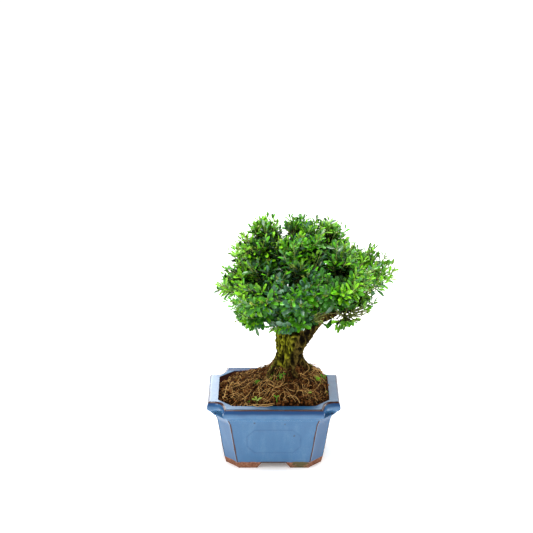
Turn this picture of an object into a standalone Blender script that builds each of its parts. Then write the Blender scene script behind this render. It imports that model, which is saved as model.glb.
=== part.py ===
"""A boxwood bonsai in its glazed pot, as separate solids.

The pot, the root ball, the trunk, three limbs, the boughs that spring from them, and fifteen masses of
foliage are each one object. Lengths are in metres and +Z is up. The tree is laid out from the middle of
the pot's underside; at the end everything moves together, so that the origin is the bottom centre of
the whole plant's box.
"""

import math
import random

import bmesh
import bpy
from mathutils import Matrix, Vector
from mathutils.bvhtree import BVHTree

GAP = 0.0003  # left between solids that touch

# ---- pot ------------------------------------------------------------------------------------------
POT_LENGTH = 0.150  # over the rim, along X
POT_DEPTH = 0.119  # over the rim, along Y
POT_HEIGHT = 0.0795
RIM_TOP_WIDTH = 0.010
RIM_OVERHANG = 0.0015  # how far the roll bulges past the rim's top edge
FOOT_HEIGHT = 0.008
FLOOR_TOP = 0.015
BODY_CORNER = 0.0142  # the cut across each corner of the body
PANEL_STEP = 0.0012  # how far each panel stands proud of the cut corners
NOTCH_LENGTH = 0.0190  # the stepped-in corners of the rim, along X
NOTCH_DEPTH = 0.0205  # and along Y
MOUTH_CORNER = 0.0165

# ---- root ball --------------------------------------------------------------------------------------
GROUND = 0.1030  # top of the root ball, where the trunk stands
GROUND_FLAT = 0.0265  # radius of the level patch under the trunk
WALL_LEVEL = 0.0765  # soil against the pot's wall, in the middle
WALL_TILT = 0.050  # rise of that line for each metre towards +X

# ---- wood -------------------------------------------------------------------------------------------
# Sections of the trunk: height, middle in x and y, half width in x and y.
TRUNK = (
    (GROUND + GAP, 0.0175, 0.0060, 0.0235, 0.0215),
    (0.1070, 0.0175, 0.0060, 0.0205, 0.0190),
    (0.1120, 0.0173, 0.0058, 0.0172, 0.0162),
    (0.1190, 0.0170, 0.0055, 0.0145, 0.0140),
    (0.1270, 0.0174, 0.0050, 0.0137, 0.0132),
    (0.1340, 0.0195, 0.0048, 0.0152, 0.0134),
    (0.1410, 0.0212, 0.0045, 0.0172, 0.0136),
    (0.1470, 0.0222, 0.0045, 0.0172, 0.0128),
)
ROOT_LOBES = 5
ROOT_LOBE_SIZE = 0.14  # of the radius, at the foot
TRUNK_SIDES = 20
STUB_TAPER = 1.06

# Each limb: a point inside the trunk and the one where the limb starts, the points that it passes
# through up to its tip, and its radius at both ends.
LIMBS = {
    "limb_left": (
        ((0.0140, 0.0040, 0.1360), (0.0132, 0.0040, 0.1520)),
        ((0.0100, 0.0055, 0.1750), (0.0060, 0.0050, 0.2060), (0.0030, 0.0040, 0.2200)),
        (0.0102, 0.0048),
    ),
    "limb_right": (
        ((0.0255, 0.0030, 0.1325), (0.0368, 0.0021, 0.1496)),
        ((0.0510, 0.0000, 0.1670), (0.0700, -0.0018, 0.1850), (0.0800, -0.0020, 0.1990)),
        (0.0092, 0.0042),
    ),
    "limb_back": (
        ((0.0225, 0.0080, 0.1350), (0.0238, 0.0212, 0.1456)),
        ((0.0270, 0.0375, 0.1620), (0.0300, 0.0430, 0.1750), (0.0325, 0.0460, 0.1900)),
        (0.0062, 0.0040),
    ),
}
STRAIGHT = 0.0065  # the first stretch of a limb runs on in the direction of its stub
BOUGH_SHARE = 0.60  # a bough ends this far along the line from its limb to its mass's middle
BOUGH_SAG = 0.10  # it leaves its limb low, and turns up: sag over length
BOUGH_RADII = (0.0044, 0.0027)

# ---- foliage ----------------------------------------------------------------------------------------
# Each mass: its limb, how far along the limb its bough springs (1.0: the limb's own tip carries it),
# its middle, and its reach along x, y and z.
MASSES = {
    "top_left": ("limb_left", 1.0, (-0.0155, -0.0020, 0.2520), (0.0305, 0.0380, 0.0270)),
    "top": ("limb_left", 0.75, (0.0265, 0.0000, 0.2550), (0.0300, 0.0420, 0.0270)),
    "left": ("limb_left", 0.47, (-0.0330, 0.0000, 0.2165), (0.0270, 0.0400, 0.0260)),
    "low_left": ("limb_left", 0.20, (-0.0190, -0.0070, 0.1810), (0.0290, 0.0340, 0.0220)),
    "front_left": ("limb_left", 0.38, (-0.0140, -0.0400, 0.2155), (0.0320, 0.0320, 0.0300)),
    "low_front": ("limb_left", 0.10, (0.0290, -0.0280, 0.1810), (0.0320, 0.0300, 0.0180)),
    "back_left": ("limb_left", 0.56, (-0.0075, 0.0420, 0.2140), (0.0320, 0.0320, 0.0310)),
    "right": ("limb_right", 1.0, (0.1020, 0.0020, 0.2170), (0.0280, 0.0380, 0.0290)),
    "top_right": ("limb_right", 0.42, (0.0630, 0.0000, 0.2515), (0.0250, 0.0380, 0.0275)),
    "front": ("limb_right", 0.14, (0.0270, -0.0460, 0.2200), (0.0340, 0.0300, 0.0330)),
    "front_right": ("limb_right", 0.52, (0.0705, -0.0380, 0.2230), (0.0320, 0.0320, 0.0290)),
    "low_right": ("limb_right", 0.28, (0.0840, -0.0080, 0.1800), (0.0320, 0.0340, 0.0230)),
    "back_right": ("limb_right", 0.65, (0.0790, 0.0400, 0.2160), (0.0320, 0.0320, 0.0280)),
    "back": ("limb_back", 1.0, (0.0335, 0.0470, 0.2155), (0.0330, 0.0300, 0.0330)),
    "low_back": ("limb_back", 0.38, (0.0590, 0.0400, 0.1815), (0.0330, 0.0320, 0.0200)),
}
CROWN_HEART = Vector((0.0300, 0.0000, 0.1900))  # twigs grow away from here
SEED = 6
TWIGS = 9  # of each mass, at most
LEAVES = 35  # of each mass, at most
INWARD_LIMIT = -0.45  # twigs that point more than this towards the crown's heart are left out
LEAF_LENGTH = 0.0225
LEAF_WIDTH = 0.0098
LEAF_THICKNESS = 0.0011
TIP_INSET = 0.0130  # from a twig's tip to the edge of its mass, which its leaves reach
TWIG_RADIUS = 0.0011
TWIG_TIP = 0.85  # share of that radius at the tip
STEM_RADIUS = 0.0022
LEAF_PAIRS = ((0.97, 42), (0.76, 66), (0.55, 70), (0.34, 72))  # place along the twig, angle from it
LEAF_TRIES = 14
ROOT_DEPTH = 0.0002  # how far a leaf's root is sunk past its twig's middle line
# A leaf's outline from its root round its blunt tip: shares of its length and of its half width.
LEAF_OUTLINE = ((0.0, 0.0), (0.55, 1.0), (1.0, 0.38), (1.0, -0.38), (0.55, -1.0))
SPACE_MARGIN = 0.0002  # from a leaf to the edge of the next mass's space
CROWN_MARGIN = 0.0020  # how far leaves may stand past the reach of the masses
LIMB_MARGIN = 0.0012
GOLDEN_ANGLE = math.pi * (3 - math.sqrt(5))

# ---- colours ----------------------------------------------------------------------------------------
COLOURS = {
    "glaze": ((0.085, 0.205, 0.420), 0.18),
    "soil": ((0.075, 0.038, 0.016), 0.95),
    "bark": ((0.150, 0.110, 0.035), 0.90),
    "leaf": ((0.045, 0.160, 0.025), 0.45),
}


def clear_scene():
    for obj in list(bpy.data.objects):
        bpy.data.objects.remove(obj, do_unlink=True)


def new_collection(name, hidden=False):
    made = bpy.data.collections.new(name)
    bpy.context.scene.collection.children.link(made)
    made.hide_render = hidden
    return made


def new_material(name):
    colour, roughness = COLOURS[name]
    material = bpy.data.materials.new(name)
    material.use_nodes = True
    shader = material.node_tree.nodes["Principled BSDF"]
    shader.inputs["Base Color"].default_value = (*colour, 1.0)
    shader.inputs["Roughness"].default_value = roughness
    shader.inputs["Metallic"].default_value = 0.0
    return material


def mesh_object(name, shape, collection, material=None):
    """An object from a bmesh, which is freed."""
    mesh = bpy.data.meshes.new(name)
    bmesh.ops.recalc_face_normals(shape, faces=shape.faces)
    if shape.calc_volume(signed=True) < 0:
        bmesh.ops.reverse_faces(shape, faces=shape.faces)
    shape.to_mesh(mesh)
    shape.free()
    obj = bpy.data.objects.new(name, mesh)
    collection.objects.link(obj)
    if material:
        mesh.materials.append(material)
    return obj


def shade(obj, degrees=40):
    obj.data.shade_smooth()
    obj.data.set_sharp_from_angle(angle=math.radians(degrees))


def loft(rings):
    """A closed skin through rings that have the same number of points, with both ends filled."""
    shape = bmesh.new()
    rows = [[shape.verts.new(point) for point in ring] for ring in rings]
    count = len(rows[0])
    for low, high in zip(rows, rows[1:]):
        for i in range(count):
            j = (i + 1) % count
            shape.faces.new((low[i], low[j], high[j], high[i]))
    shape.faces.new(rows[0])
    shape.faces.new(rows[-1])
    return shape


def apply_boolean(obj, operation, other=None, collection=None, solver="EXACT"):
    """Joins or cuts obj with one object or a whole collection, applies it, and removes what was used."""
    modifier = obj.modifiers.new(operation.lower(), "BOOLEAN")
    modifier.operation = operation
    modifier.solver = solver
    if collection:
        modifier.operand_type = "COLLECTION"
        modifier.collection = collection
    else:
        modifier.object = other
    graph = bpy.context.evaluated_depsgraph_get()
    result = bpy.data.meshes.new_from_object(obj.evaluated_get(graph))
    obj.modifiers.remove(modifier)
    old = obj.data
    obj.data = result
    bpy.data.meshes.remove(old)
    for used in list(collection.objects) if collection else [other]:
        bpy.data.objects.remove(used, do_unlink=True)


# ---- pot --------------------------------------------------------------------------------------------
def body_corner(size, step):
    """A cut corner, as distances inwards from the two sides, from the side panel to the front one."""
    across = [(size * t, size * (1 - t)) for t in (0.0, 0.2, 0.4, 0.6, 0.8, 1.0)]
    inner = [(a + step * 0.7, b + step * 0.7) for a, b in across[1:-1]]
    return [(0.0, size), *inner, (size, 0.0)]


def notched_corner(length, depth):
    """A stepped-in corner with a round inside, running the same way as body_corner."""
    shares = ((0.0, 1.0), (0.42, 0.99), (0.70, 0.86), (0.86, 0.60), (0.93, 0.30), (1.0, 0.0))
    return [(length * a, depth * b) for a, b in shares]


def plan(half_x, half_y, corner, z):
    """A closed outline with the same corner four times, as points at height z."""
    quarter = [(half_x - a, half_y - b) for a, b in corner]
    mirrored = [(-x, y) for x, y in reversed(quarter)]
    upper = quarter + mirrored
    lower = [(-x, -y) for x, y in upper]
    return [Vector((x, y, z)) for x, y in upper + lower]


def rim_corner(share=1.0):
    return notched_corner(NOTCH_LENGTH * share, NOTCH_DEPTH * share)


# The pot's outside from the foot up, as height and how far the side is in from the rim's top edge.
BODY_PROFILE = (
    (0.0000, 0.0195),
    (FOOT_HEIGHT - 0.0004, 0.0183),
    (FOOT_HEIGHT, 0.0172),
    (0.0240, 0.0150),
    (0.0440, 0.0122),
    (0.0580, 0.0100),
    (0.0635, 0.0080),
)
RIM_PROFILE = (
    (0.0665, 0.0040),
    (0.0695, 0.0005),
    (0.0735, -RIM_OVERHANG),
    (0.0775, -RIM_OVERHANG * 0.7),
    (0.0791, 0.0000),
    (POT_HEIGHT, 0.0012),
)
TOP_HALF_X = POT_LENGTH / 2 - RIM_OVERHANG
TOP_HALF_Y = POT_DEPTH / 2 - RIM_OVERHANG
MOUTH_X = TOP_HALF_X - RIM_TOP_WIDTH
MOUTH_Y = TOP_HALF_Y - RIM_TOP_WIDTH
FRONT_SLOPE = 0.77  # the front and back walls lean out less than the sides
# The inside from the mouth down, as height and how far the wall is in from the mouth.
INSIDE_PROFILE = ((POT_HEIGHT, -0.0008), (0.0785, 0.0), (0.0620, 0.0055), (FLOOR_TOP, 0.0150))


def inside_plan(height, inset):
    return plan(MOUTH_X - inset, MOUTH_Y - inset, body_corner(MOUTH_CORNER, 0.0), height)


def make_pot(collection, cutters, material):
    rings = [
        plan(TOP_HALF_X - inset, TOP_HALF_Y - inset * FRONT_SLOPE, body_corner(BODY_CORNER, PANEL_STEP), z)
        for z, inset in BODY_PROFILE
    ]
    rings += [plan(TOP_HALF_X - inset, TOP_HALF_Y - inset, rim_corner(), z) for z, inset in RIM_PROFILE]
    rings += [inside_plan(z, inset) for z, inset in INSIDE_PROFILE]
    pot = mesh_object("pot", loft(rings), collection, material)
    for cutter in foot_cutters(cutters):
        apply_boolean(pot, "DIFFERENCE", cutter)
    shade(pot)
    return pot


FOOT_RING = 0.0125  # width of the foot ring under the body
ARCH_TOP = 0.0068
FRONT_ARCH = (0.0188, 0.0138)  # half widths of the opening at the floor and at its top
SIDE_ARCH = (0.0125, 0.0085)


def foot_cutters(collection):
    """The hollow under the pot, and two troughs that open the foot ring on all four sides."""
    base_inset = BODY_PROFILE[0][1] + FOOT_RING
    half_x, half_y = TOP_HALF_X - base_inset, TOP_HALF_Y - base_inset * FRONT_SLOPE
    below = -0.004
    corner = body_corner(0.008, 0.0)
    hollow = loft([plan(half_x, half_y, corner, z) for z in (below, FOOT_HEIGHT - 0.0002)])
    yield mesh_object("cut_hollow", hollow, collection)
    yield trough("cut_front_back", FRONT_ARCH, "Y", below, collection)
    yield trough("cut_sides", SIDE_ARCH, "X", below, collection)


def trough(name, half_widths, along, below, collection):
    """A long prism, wider at the bottom, that cuts one arch through both sides of the foot ring."""
    low, high = half_widths
    slope = (low - high) / ARCH_TOP
    shape = bmesh.new()
    bmesh.ops.create_cube(shape, size=2.0)
    for v in shape.verts:
        z = ARCH_TOP if v.co.z > 0 else below
        across = math.copysign(high if v.co.z > 0 else low - slope * below, v.co.x)
        length = math.copysign(POT_LENGTH, v.co.y)
        v.co = Vector((across, length, z)) if along == "Y" else Vector((length, across, z))
    return mesh_object(name, shape, collection)


# ---- root ball --------------------------------------------------------------------------------------
def soil_height(x, y):
    """The top of the root ball: level under the trunk, then falling away to the pot's wall."""
    foot_x, foot_y = TRUNK[0][1:3]
    away = Vector((x - foot_x, y - foot_y)).length
    wall = WALL_LEVEL + WALL_TILT * x
    if away <= GROUND_FLAT:
        return GROUND
    reach = 0.058 - 0.012 * math.cos(math.atan2(y - foot_y, x - foot_x))
    share = min(1.0, (away - GROUND_FLAT) / (reach - GROUND_FLAT * 0.4))
    return wall + (GROUND - wall) * 0.5 * (1 + math.cos(math.pi * share))


def soil_edge():
    """Where the top of the root ball meets the pot's wall, a gap away from it."""
    (high, high_inset), (low, low_inset) = INSIDE_PROFILE[1:3]
    edge = []
    for i, p in enumerate(inside_plan(0.0, high_inset)):
        z = min(soil_height(p.x, p.y), high - GAP)
        inset = high_inset + (low_inset - high_inset) * (high - z) / (high - low)
        edge.append(inside_plan(z, inset + GAP)[i])
    return edge


def make_soil(collection, material):
    """The root ball: its sides follow the pot's inside, and its top is a mound."""
    foot = Vector(TRUNK[0][1:3])
    wall_ring, floor_ring = [inside_plan(z, inset + GAP) for z, inset in INSIDE_PROFILE[2:]]
    floor_ring = [p + Vector((0, 0, GAP)) for p in floor_ring]
    edge = soil_edge()
    rings = [floor_ring, wall_ring, edge]
    for share in (0.9, 0.78, 0.66, 0.54, 0.0):
        ring = []
        for p in edge:
            spoke = Vector(p[:2]) - foot
            flat = foot + spoke * max(share, GROUND_FLAT / spoke.length)
            ring.append(Vector((*flat, soil_height(*flat))))
        rings.append(ring)
    soil = mesh_object("root_ball", loft(rings), collection, material)
    shade(soil)


# ---- wood -------------------------------------------------------------------------------------------
def smooth_line(points, steps=3):
    """Points on one smooth curve through the given ones."""
    points = [Vector(p) for p in points]
    ends = [2 * points[0] - points[1], *points, 2 * points[-1] - points[-2]]
    line = []
    for a, b, c, d in zip(ends, ends[1:], ends[2:], ends[3:]):
        for i in range(steps):
            t = i / steps
            square = (2 * a - 5 * b + 4 * c - d) * t**2
            cube = (3 * b - a - 3 * c + d) * t**3
            line.append(0.5 * (2 * b + (c - a) * t + square + cube))
    return [*line, points[-1]]


def tapered(line, start, end):
    """A radius for each point of a line, falling evenly with its length."""
    lengths = [0.0]
    for a, b in zip(line, line[1:]):
        lengths.append(lengths[-1] + (b - a).length)
    return [start + (end - start) * done / lengths[-1] for done in lengths]


def tube(name, line, radii, collection, material=None, resolution=2):
    """A round tube with filled ends, made as a bevelled curve and turned into a mesh."""
    curve = bpy.data.curves.new(name, "CURVE")
    curve.dimensions = "3D"
    curve.bevel_depth = radii[0]
    curve.bevel_resolution = resolution
    curve.use_fill_caps = True
    spline = curve.splines.new("POLY")
    spline.points.add(len(line) - 1)
    for point, place, radius in zip(spline.points, line, radii):
        point.co = (*place, 1.0)
        point.radius = radius / radii[0]
    drawn = bpy.data.objects.new(name + "_curve", curve)
    collection.objects.link(drawn)
    graph = bpy.context.evaluated_depsgraph_get()
    mesh = bpy.data.meshes.new_from_object(drawn.evaluated_get(graph))
    shape = bmesh.new()
    shape.from_mesh(mesh)
    bmesh.ops.remove_doubles(shape, verts=shape.verts, dist=1e-6)
    bpy.data.meshes.remove(mesh)
    bpy.data.objects.remove(drawn, do_unlink=True)
    return mesh_object(name, shape, collection, material)


def limb_lines(name):
    """The stretch of a limb inside the trunk, the limb itself, and its radii."""
    stub, bends, (start, end) = LIMBS[name]
    inside, cut = (Vector(p) for p in stub)
    forward = (cut - inside).normalized()
    own = smooth_line([cut + forward * STRAIGHT, *bends], 2)
    own = [cut + forward * GAP, *own]
    return [inside, cut], own, tapered(own, start, end)


def point_along(line, share):
    """The point at this share of a line's length."""
    left = share * sum((b - a).length for a, b in zip(line, line[1:]))
    for a, b in zip(line, line[1:]):
        if left <= (b - a).length:
            break
        left -= (b - a).length
    return a + (b - a).normalized() * left


def bough_line(mass):
    """The bough of a mass: from inside its limb, out and then up, to where it enters the mass."""
    limb, share, middle, _ = MASSES[mass]
    start = point_along(limb_lines(limb)[1], share)
    tip = start.lerp(Vector(middle), BOUGH_SHARE)
    sag = Vector((0, 0, BOUGH_SAG * (tip - start).length))
    line = smooth_line([start, start.lerp(tip, 0.5) - sag, tip], 2)
    return line, tapered(line, *BOUGH_RADII)


def all_wood():
    """Every limb and bough as a line with radii, and which of them carries each mass."""
    wood = {name: limb_lines(name)[1:] for name in LIMBS}
    carriers = {}
    for mass, (limb, share, _, _) in MASSES.items():
        carriers[mass] = limb if share == 1.0 else "bough_" + mass
        if share < 1.0:
            wood[carriers[mass]] = bough_line(mass)
    return wood, carriers


def make_trunk(collection, cutters, material):
    """A fluted stem that flares into its roots, with a short flat-ended stub for each limb."""
    rings = []
    for z, x, y, half_x, half_y in TRUNK:
        lobe = ROOT_LOBE_SIZE * max(0.0, 1 - (z - GROUND) / 0.020)
        ring = []
        for i in range(TRUNK_SIDES):
            angle = math.tau * i / TRUNK_SIDES
            flute = 1 + lobe * math.cos(ROOT_LOBES * angle + 0.6) + 0.05 * math.cos(3 * angle + z * 60)
            across = half_x * flute * math.cos(angle)
            ring.append(Vector((x + across, y + half_y * flute * math.sin(angle), z)))
        rings.append(ring)
    trunk = mesh_object("trunk", loft(rings), collection, material)
    for name, (_, _, (start, _)) in LIMBS.items():
        stub = limb_lines(name)[0]
        piece = tube("stub_" + name, stub, [start * STUB_TAPER, start], cutters)
        apply_boolean(trunk, "UNION", piece)
    shade(trunk)
    return trunk


def make_wood(wood, collection, cutters, material):
    """The limbs, and the boughs, each cut clear of the limb that it springs from.

    Returns a tree of each for touch tests.
    """
    trees = []
    for name, (line, radii) in wood.items():
        limb = MASSES[name.removeprefix("bough_")][0] if name not in LIMBS else None
        piece = tube(name, line, radii, collection, material, resolution=1 if limb else 2)
        if limb:
            limb_line, limb_radii = wood[limb]
            cutter = tube("cut_" + name, limb_line, [r + GAP for r in limb_radii], cutters)
            apply_boolean(piece, "DIFFERENCE", cutter)
        shade(piece)
        mesh = piece.data
        trees.append(BVHTree.FromPolygons([v.co for v in mesh.vertices], [p.vertices for p in mesh.polygons]))
    return trees


# ---- foliage ----------------------------------------------------------------------------------------
def in_own_space(point, name):
    """Whether a point is nearer to this mass's middle than to any other's, by the masses' own reach."""

    def beyond(other):
        _, _, middle, reach = MASSES[other]
        mean = sum(reach) / 3
        return (point - Vector(middle)).length_squared - mean * mean

    own = beyond(name)
    middle = Vector(MASSES[name][2])
    for other in MASSES:
        apart = (Vector(MASSES[other][2]) - middle).length
        if other != name and beyond(other) - own < 2 * apart * SPACE_MARGIN:
            return False
    return True


def in_crown(point):
    """Whether a point is within the reach of any mass."""
    for _, _, middle, reach in MASSES.values():
        offset = point - Vector(middle)
        if sum((o / (r + CROWN_MARGIN)) ** 2 for o, r in zip(offset, reach)) <= 1.0:
            return True
    return False


def clear_of_wood(point, wood, radius):
    for line, radii in wood.values():
        for a, b, radius_a, radius_b in zip(line, line[1:], radii, radii[1:]):
            along = b - a
            t = max(0.0, min(1.0, (point - a).dot(along) / along.length_squared))
            limit = radius_a + (radius_b - radius_a) * t + radius + LIMB_MARGIN
            if (point - (a + along * t)).length < limit:
                return False
    return True


def spar_shape(a, b, radius_a, radius_b):
    """A straight three-sided piece of twig from a to b."""
    along = b - a
    shape = bmesh.new()
    bmesh.ops.create_cone(
        shape, segments=3, radius1=radius_a, radius2=radius_b, depth=along.length, cap_ends=True
    )
    turn = along.to_track_quat("Z", "Y").to_matrix().to_4x4()
    bmesh.ops.transform(shape, matrix=Matrix.Translation((a + b) / 2) @ turn, verts=shape.verts)
    return shape


def leaf_frame(direction, root):
    """Length, width and thickness directions of a leaf that turns its upper side out of the crown."""
    side = (root - CROWN_HEART).cross(direction).normalized()
    return Matrix((direction, side, direction.cross(side))).transposed()


def leaf_shape(root, frame, length):
    """A leaf of eight faces: a flat upper side cut to its outline, and a keel under its middle."""
    shape = bmesh.new()
    bmesh.ops.create_cone(shape, segments=len(LEAF_OUTLINE), radius1=1, radius2=0, depth=1, cap_ends=True)
    rim = [v for v in shape.verts if v.co.z < 0]
    rim.sort(key=lambda v: math.atan2(v.co.x, v.co.y) % math.tau)
    keel = next(v for v in shape.verts if v.co.z > 0)
    for v, (along, across) in zip(rim, LEAF_OUTLINE):
        v.co = Vector((along * length, across * LEAF_WIDTH / 2, 0.0))
    keel.co = Vector((0.5 * length, 0.0, -LEAF_THICKNESS))
    for v in shape.verts:
        v.co = root + frame @ v.co
    return shape


def touch_tree(shape, root=None, free=0.12):
    """A tree for touch tests. A leaf's own root, which is sunk in its twig, is left out of it."""
    points = [v.co.copy() for v in shape.verts]
    if root:
        middle = sum(points, Vector()) / len(points)
        points = [p.lerp(middle, free) if (p - root).length < 1e-6 else p for p in points]
    return BVHTree.FromPolygons(points, [[v.index for v in f.verts] for f in shape.faces])


def leaf_fits(root, frame, length, name, wood):
    outline = [root + frame @ Vector((a * length, b * LEAF_WIDTH / 2, 0.0)) for a, b in LEAF_OUTLINE]
    if not all(in_own_space(p, name) and in_crown(p) for p in outline):
        return False
    middle = [root.lerp((outline[2] + outline[3]) / 2, share) for share in (0.3, 0.6)]
    return all(clear_of_wood(p, wood, LEAF_THICKNESS) for p in outline[1:] + middle)


def room(start, direction, name):
    """How far a line from start can run before it leaves the space of its mass."""
    length = 0.0
    while True:
        point = start + direction * (length + 0.001)
        if not (in_own_space(point, name) and in_crown(point)):
            return length
        length += 0.001


def twig_lines(name, base, rng):
    """The twigs of a mass: they leave its stem one after another and spread to its edges."""
    middle = Vector(MASSES[name][2])
    outward = (middle - CROWN_HEART).normalized()
    hub = base.lerp(middle, 0.85)
    lines = []
    for i in range(400):
        height = 1 - 2 * ((i * 0.618034 + 0.37) % 1.0)
        angle = GOLDEN_ANGLE * i + rng.uniform(-0.3, 0.3)
        flat = math.sqrt(1 - height * height)
        spread = Vector((flat * math.cos(angle), flat * math.sin(angle), height))
        if spread.dot(outward) < INWARD_LIMIT:
            continue
        start = base.lerp(hub, rng.uniform(0.55, 1.0))
        length = room(start, spread, name) - TIP_INSET
        if length > 0.006:
            lines.append((start, start + spread * length))
        if len(lines) == TWIGS:
            break
    return hub, lines


def make_mass(name, carrier, wood, limbs, collection, scraps, material):
    """One mass: a stem that goes on from its limb's tip, twigs on the stem, and leaves on the twigs."""
    rng = random.Random(f"{name} {SEED}")
    line, radii = wood[carrier]
    forward = (line[-1] - line[-2]).normalized()
    base = line[-1] + forward * GAP
    knee = base + forward * 0.003
    radius = min(STEM_RADIUS, radii[-1] * 0.9)
    foot = spar_shape(base, knee + forward * 0.001, radius, radius)
    mass = mesh_object("foliage_" + name, foot, collection, material)
    hub, lines = twig_lines(name, knee, rng)
    stem = spar_shape(knee - (hub - knee).normalized() * 0.001, hub, radius * 0.95, TWIG_RADIUS * 1.2)
    taken = [touch_tree(stem), *limbs]
    mesh_object("stem", stem, scraps)
    twigs = []
    for start, tip in lines:
        if not all(clear_of_wood(start.lerp(tip, t), wood, TWIG_RADIUS) for t in (0.5, 0.75, 1.0)):
            continue
        twig = spar_shape(start, tip, TWIG_RADIUS, TWIG_RADIUS * TWIG_TIP)
        if any(touch_tree(twig).overlap(limb) for limb in limbs):
            twig.free()
            continue
        beyond = spar_shape(start.lerp(tip, 0.25), tip, TWIG_RADIUS, TWIG_RADIUS * TWIG_TIP)
        twigs.append((start, tip, touch_tree(beyond)))
        beyond.free()
        mesh_object("twig", twig, scraps)
    count = 0
    for place, lean in LEAF_PAIRS:
        for start, tip, own in twigs:
            others = taken + [tree for _, _, tree in twigs if tree is not own]
            for shape, root in leaf_pair(name, start, tip, place, lean, rng, wood, others):
                if count < LEAVES:
                    taken.append(touch_tree(shape, root))
                    mesh_object("leaf", shape, scraps)
                    count += 1
    print(mass.name, len(twigs), "twigs", count, "leaves")
    apply_boolean(mass, "UNION", collection=scraps, solver="MANIFOLD")
    keep_largest(mass.data)
    return mass


def leaf_pair(name, start, tip, place, lean, rng, wood, others):
    """Two leaves on opposite sides of a twig, where they find room; pairs stand at right angles."""
    axis = (tip - start).normalized()
    across = axis.orthogonal().normalized()
    number = [p for p, _ in LEAF_PAIRS].index(place)
    for side in (0, math.pi):
        for attempt in range(LEAF_TRIES):
            spin = side + number * math.pi / 2 + rng.uniform(-1, 1) * (0.3 + 0.08 * attempt)
            outward = Matrix.Rotation(spin, 3, axis) @ across
            angle = math.radians(lean + rng.uniform(-16, 12))
            direction = (axis * math.cos(angle) + outward * math.sin(angle)).normalized()
            root = start.lerp(tip, place) - direction * ROOT_DEPTH
            frame = leaf_frame(direction, root)
            length = LEAF_LENGTH * rng.uniform(0.78, 1.06)
            if not leaf_fits(root, frame, length, name, wood):
                continue
            shape = leaf_shape(root, frame, length)
            tree = touch_tree(shape, root)
            if any(tree.overlap(other) for other in others):
                shape.free()
                continue
            others = [*others, tree]
            yield shape, root
            break


def keep_largest(mesh):
    """Leaves only the largest shell of a mesh: drops loose scraps and fills sealed hollows."""
    shape = bmesh.new()
    shape.from_mesh(mesh)
    unseen = set(shape.verts)
    shells = []
    while unseen:
        shell = set()
        frontier = [unseen.pop()]
        while frontier:
            v = frontier.pop()
            shell.add(v)
            near = {e.other_vert(v) for e in v.link_edges} & unseen
            unseen -= near
            frontier += near
        shells.append(shell)
    shells.sort(key=len)
    bmesh.ops.delete(shape, geom=[v for shell in shells[:-1] for v in shell], context="VERTS")
    shape.to_mesh(mesh)
    shape.free()


def centre_on_box(collection):
    """Moves everything so that the origin is the bottom centre of the box round the whole plant."""
    corners = [obj.matrix_world @ v.co for obj in collection.objects for v in obj.data.vertices]
    middle = [(min(c[i] for c in corners) + max(c[i] for c in corners)) / 2 for i in (0, 1)]
    shift = Matrix.Translation(Vector((-middle[0], -middle[1], 0.0)))
    for obj in collection.objects:
        obj.data.transform(shift)
    print("plant moved by", [round(v, 6) for v in shift.translation])


def main():
    clear_scene()
    plant = new_collection("potted_boxwood")
    scraps = new_collection("cutters", hidden=True)
    materials = {name: new_material(name) for name in COLOURS}
    make_pot(plant, scraps, materials["glaze"])
    make_soil(plant, materials["soil"])
    make_trunk(plant, scraps, materials["bark"])
    wood, carriers = all_wood()
    limbs = make_wood(wood, plant, scraps, materials["bark"])
    for name in MASSES:
        make_mass(name, carriers[name], wood, limbs, plant, scraps, materials["leaf"])
    centre_on_box(plant)


main()
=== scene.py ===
# %% [markdown]
# # A boxwood bonsai in a blue glazed pot
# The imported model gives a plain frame: a pot, a root ball, a trunk with three limbs and twelve boughs,
# and fifteen coarse masses of foliage. This lesson dresses that frame. Each step first says what the
# thing is on a real bonsai and how it could be made in Blender, and then makes it.

# %% Load the frame and keep the size of its box
import math
import random

import bpy
from mathutils import Matrix, Vector, noise


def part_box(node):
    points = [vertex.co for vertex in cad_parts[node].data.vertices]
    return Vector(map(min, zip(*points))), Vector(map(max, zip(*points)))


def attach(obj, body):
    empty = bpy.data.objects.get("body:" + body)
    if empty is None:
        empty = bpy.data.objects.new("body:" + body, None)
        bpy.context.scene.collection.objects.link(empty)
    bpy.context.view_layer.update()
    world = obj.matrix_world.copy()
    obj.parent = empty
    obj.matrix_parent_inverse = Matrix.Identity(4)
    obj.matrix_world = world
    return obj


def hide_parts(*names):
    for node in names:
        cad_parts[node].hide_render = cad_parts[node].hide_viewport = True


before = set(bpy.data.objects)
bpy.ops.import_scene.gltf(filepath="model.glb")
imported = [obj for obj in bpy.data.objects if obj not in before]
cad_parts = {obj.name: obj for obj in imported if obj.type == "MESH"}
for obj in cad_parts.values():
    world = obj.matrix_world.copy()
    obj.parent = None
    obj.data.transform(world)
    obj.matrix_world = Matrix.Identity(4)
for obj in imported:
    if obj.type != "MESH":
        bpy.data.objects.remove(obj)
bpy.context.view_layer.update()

print("nodes in the frame:", len(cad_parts))

# %% [markdown]
# The whole plant was laid out from the middle of the pot's underside and then moved, so that the
# origin is the middle of its box. The pot is symmetrical, so its box gives that middle back. Every
# piece below is built in the pot's own coordinates, and `add_piece` moves it into the frame.

# %% Find the middle of the pot, and add finished pieces
pot_low, pot_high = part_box("pot")
MIDDLE = Vector(((pot_low.x + pot_high.x) / 2, (pot_low.y + pot_high.y) / 2, 0.0))


def add_piece(name, mesh, materials, replaced=()):
    """An object from a mesh laid out in the pot's coordinates. It stands for the replaced nodes."""
    mesh.transform(Matrix.Translation(MIDDLE))
    piece = bpy.data.objects.new(name, mesh)
    bpy.context.scene.collection.objects.link(piece)
    for material in materials:
        mesh.materials.append(material)
    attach(piece, "root")
    if replaced:
        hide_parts(*replaced)
    print(name, "has", len(mesh.vertices), "points and", len(mesh.polygons), "faces")
    return piece


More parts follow.
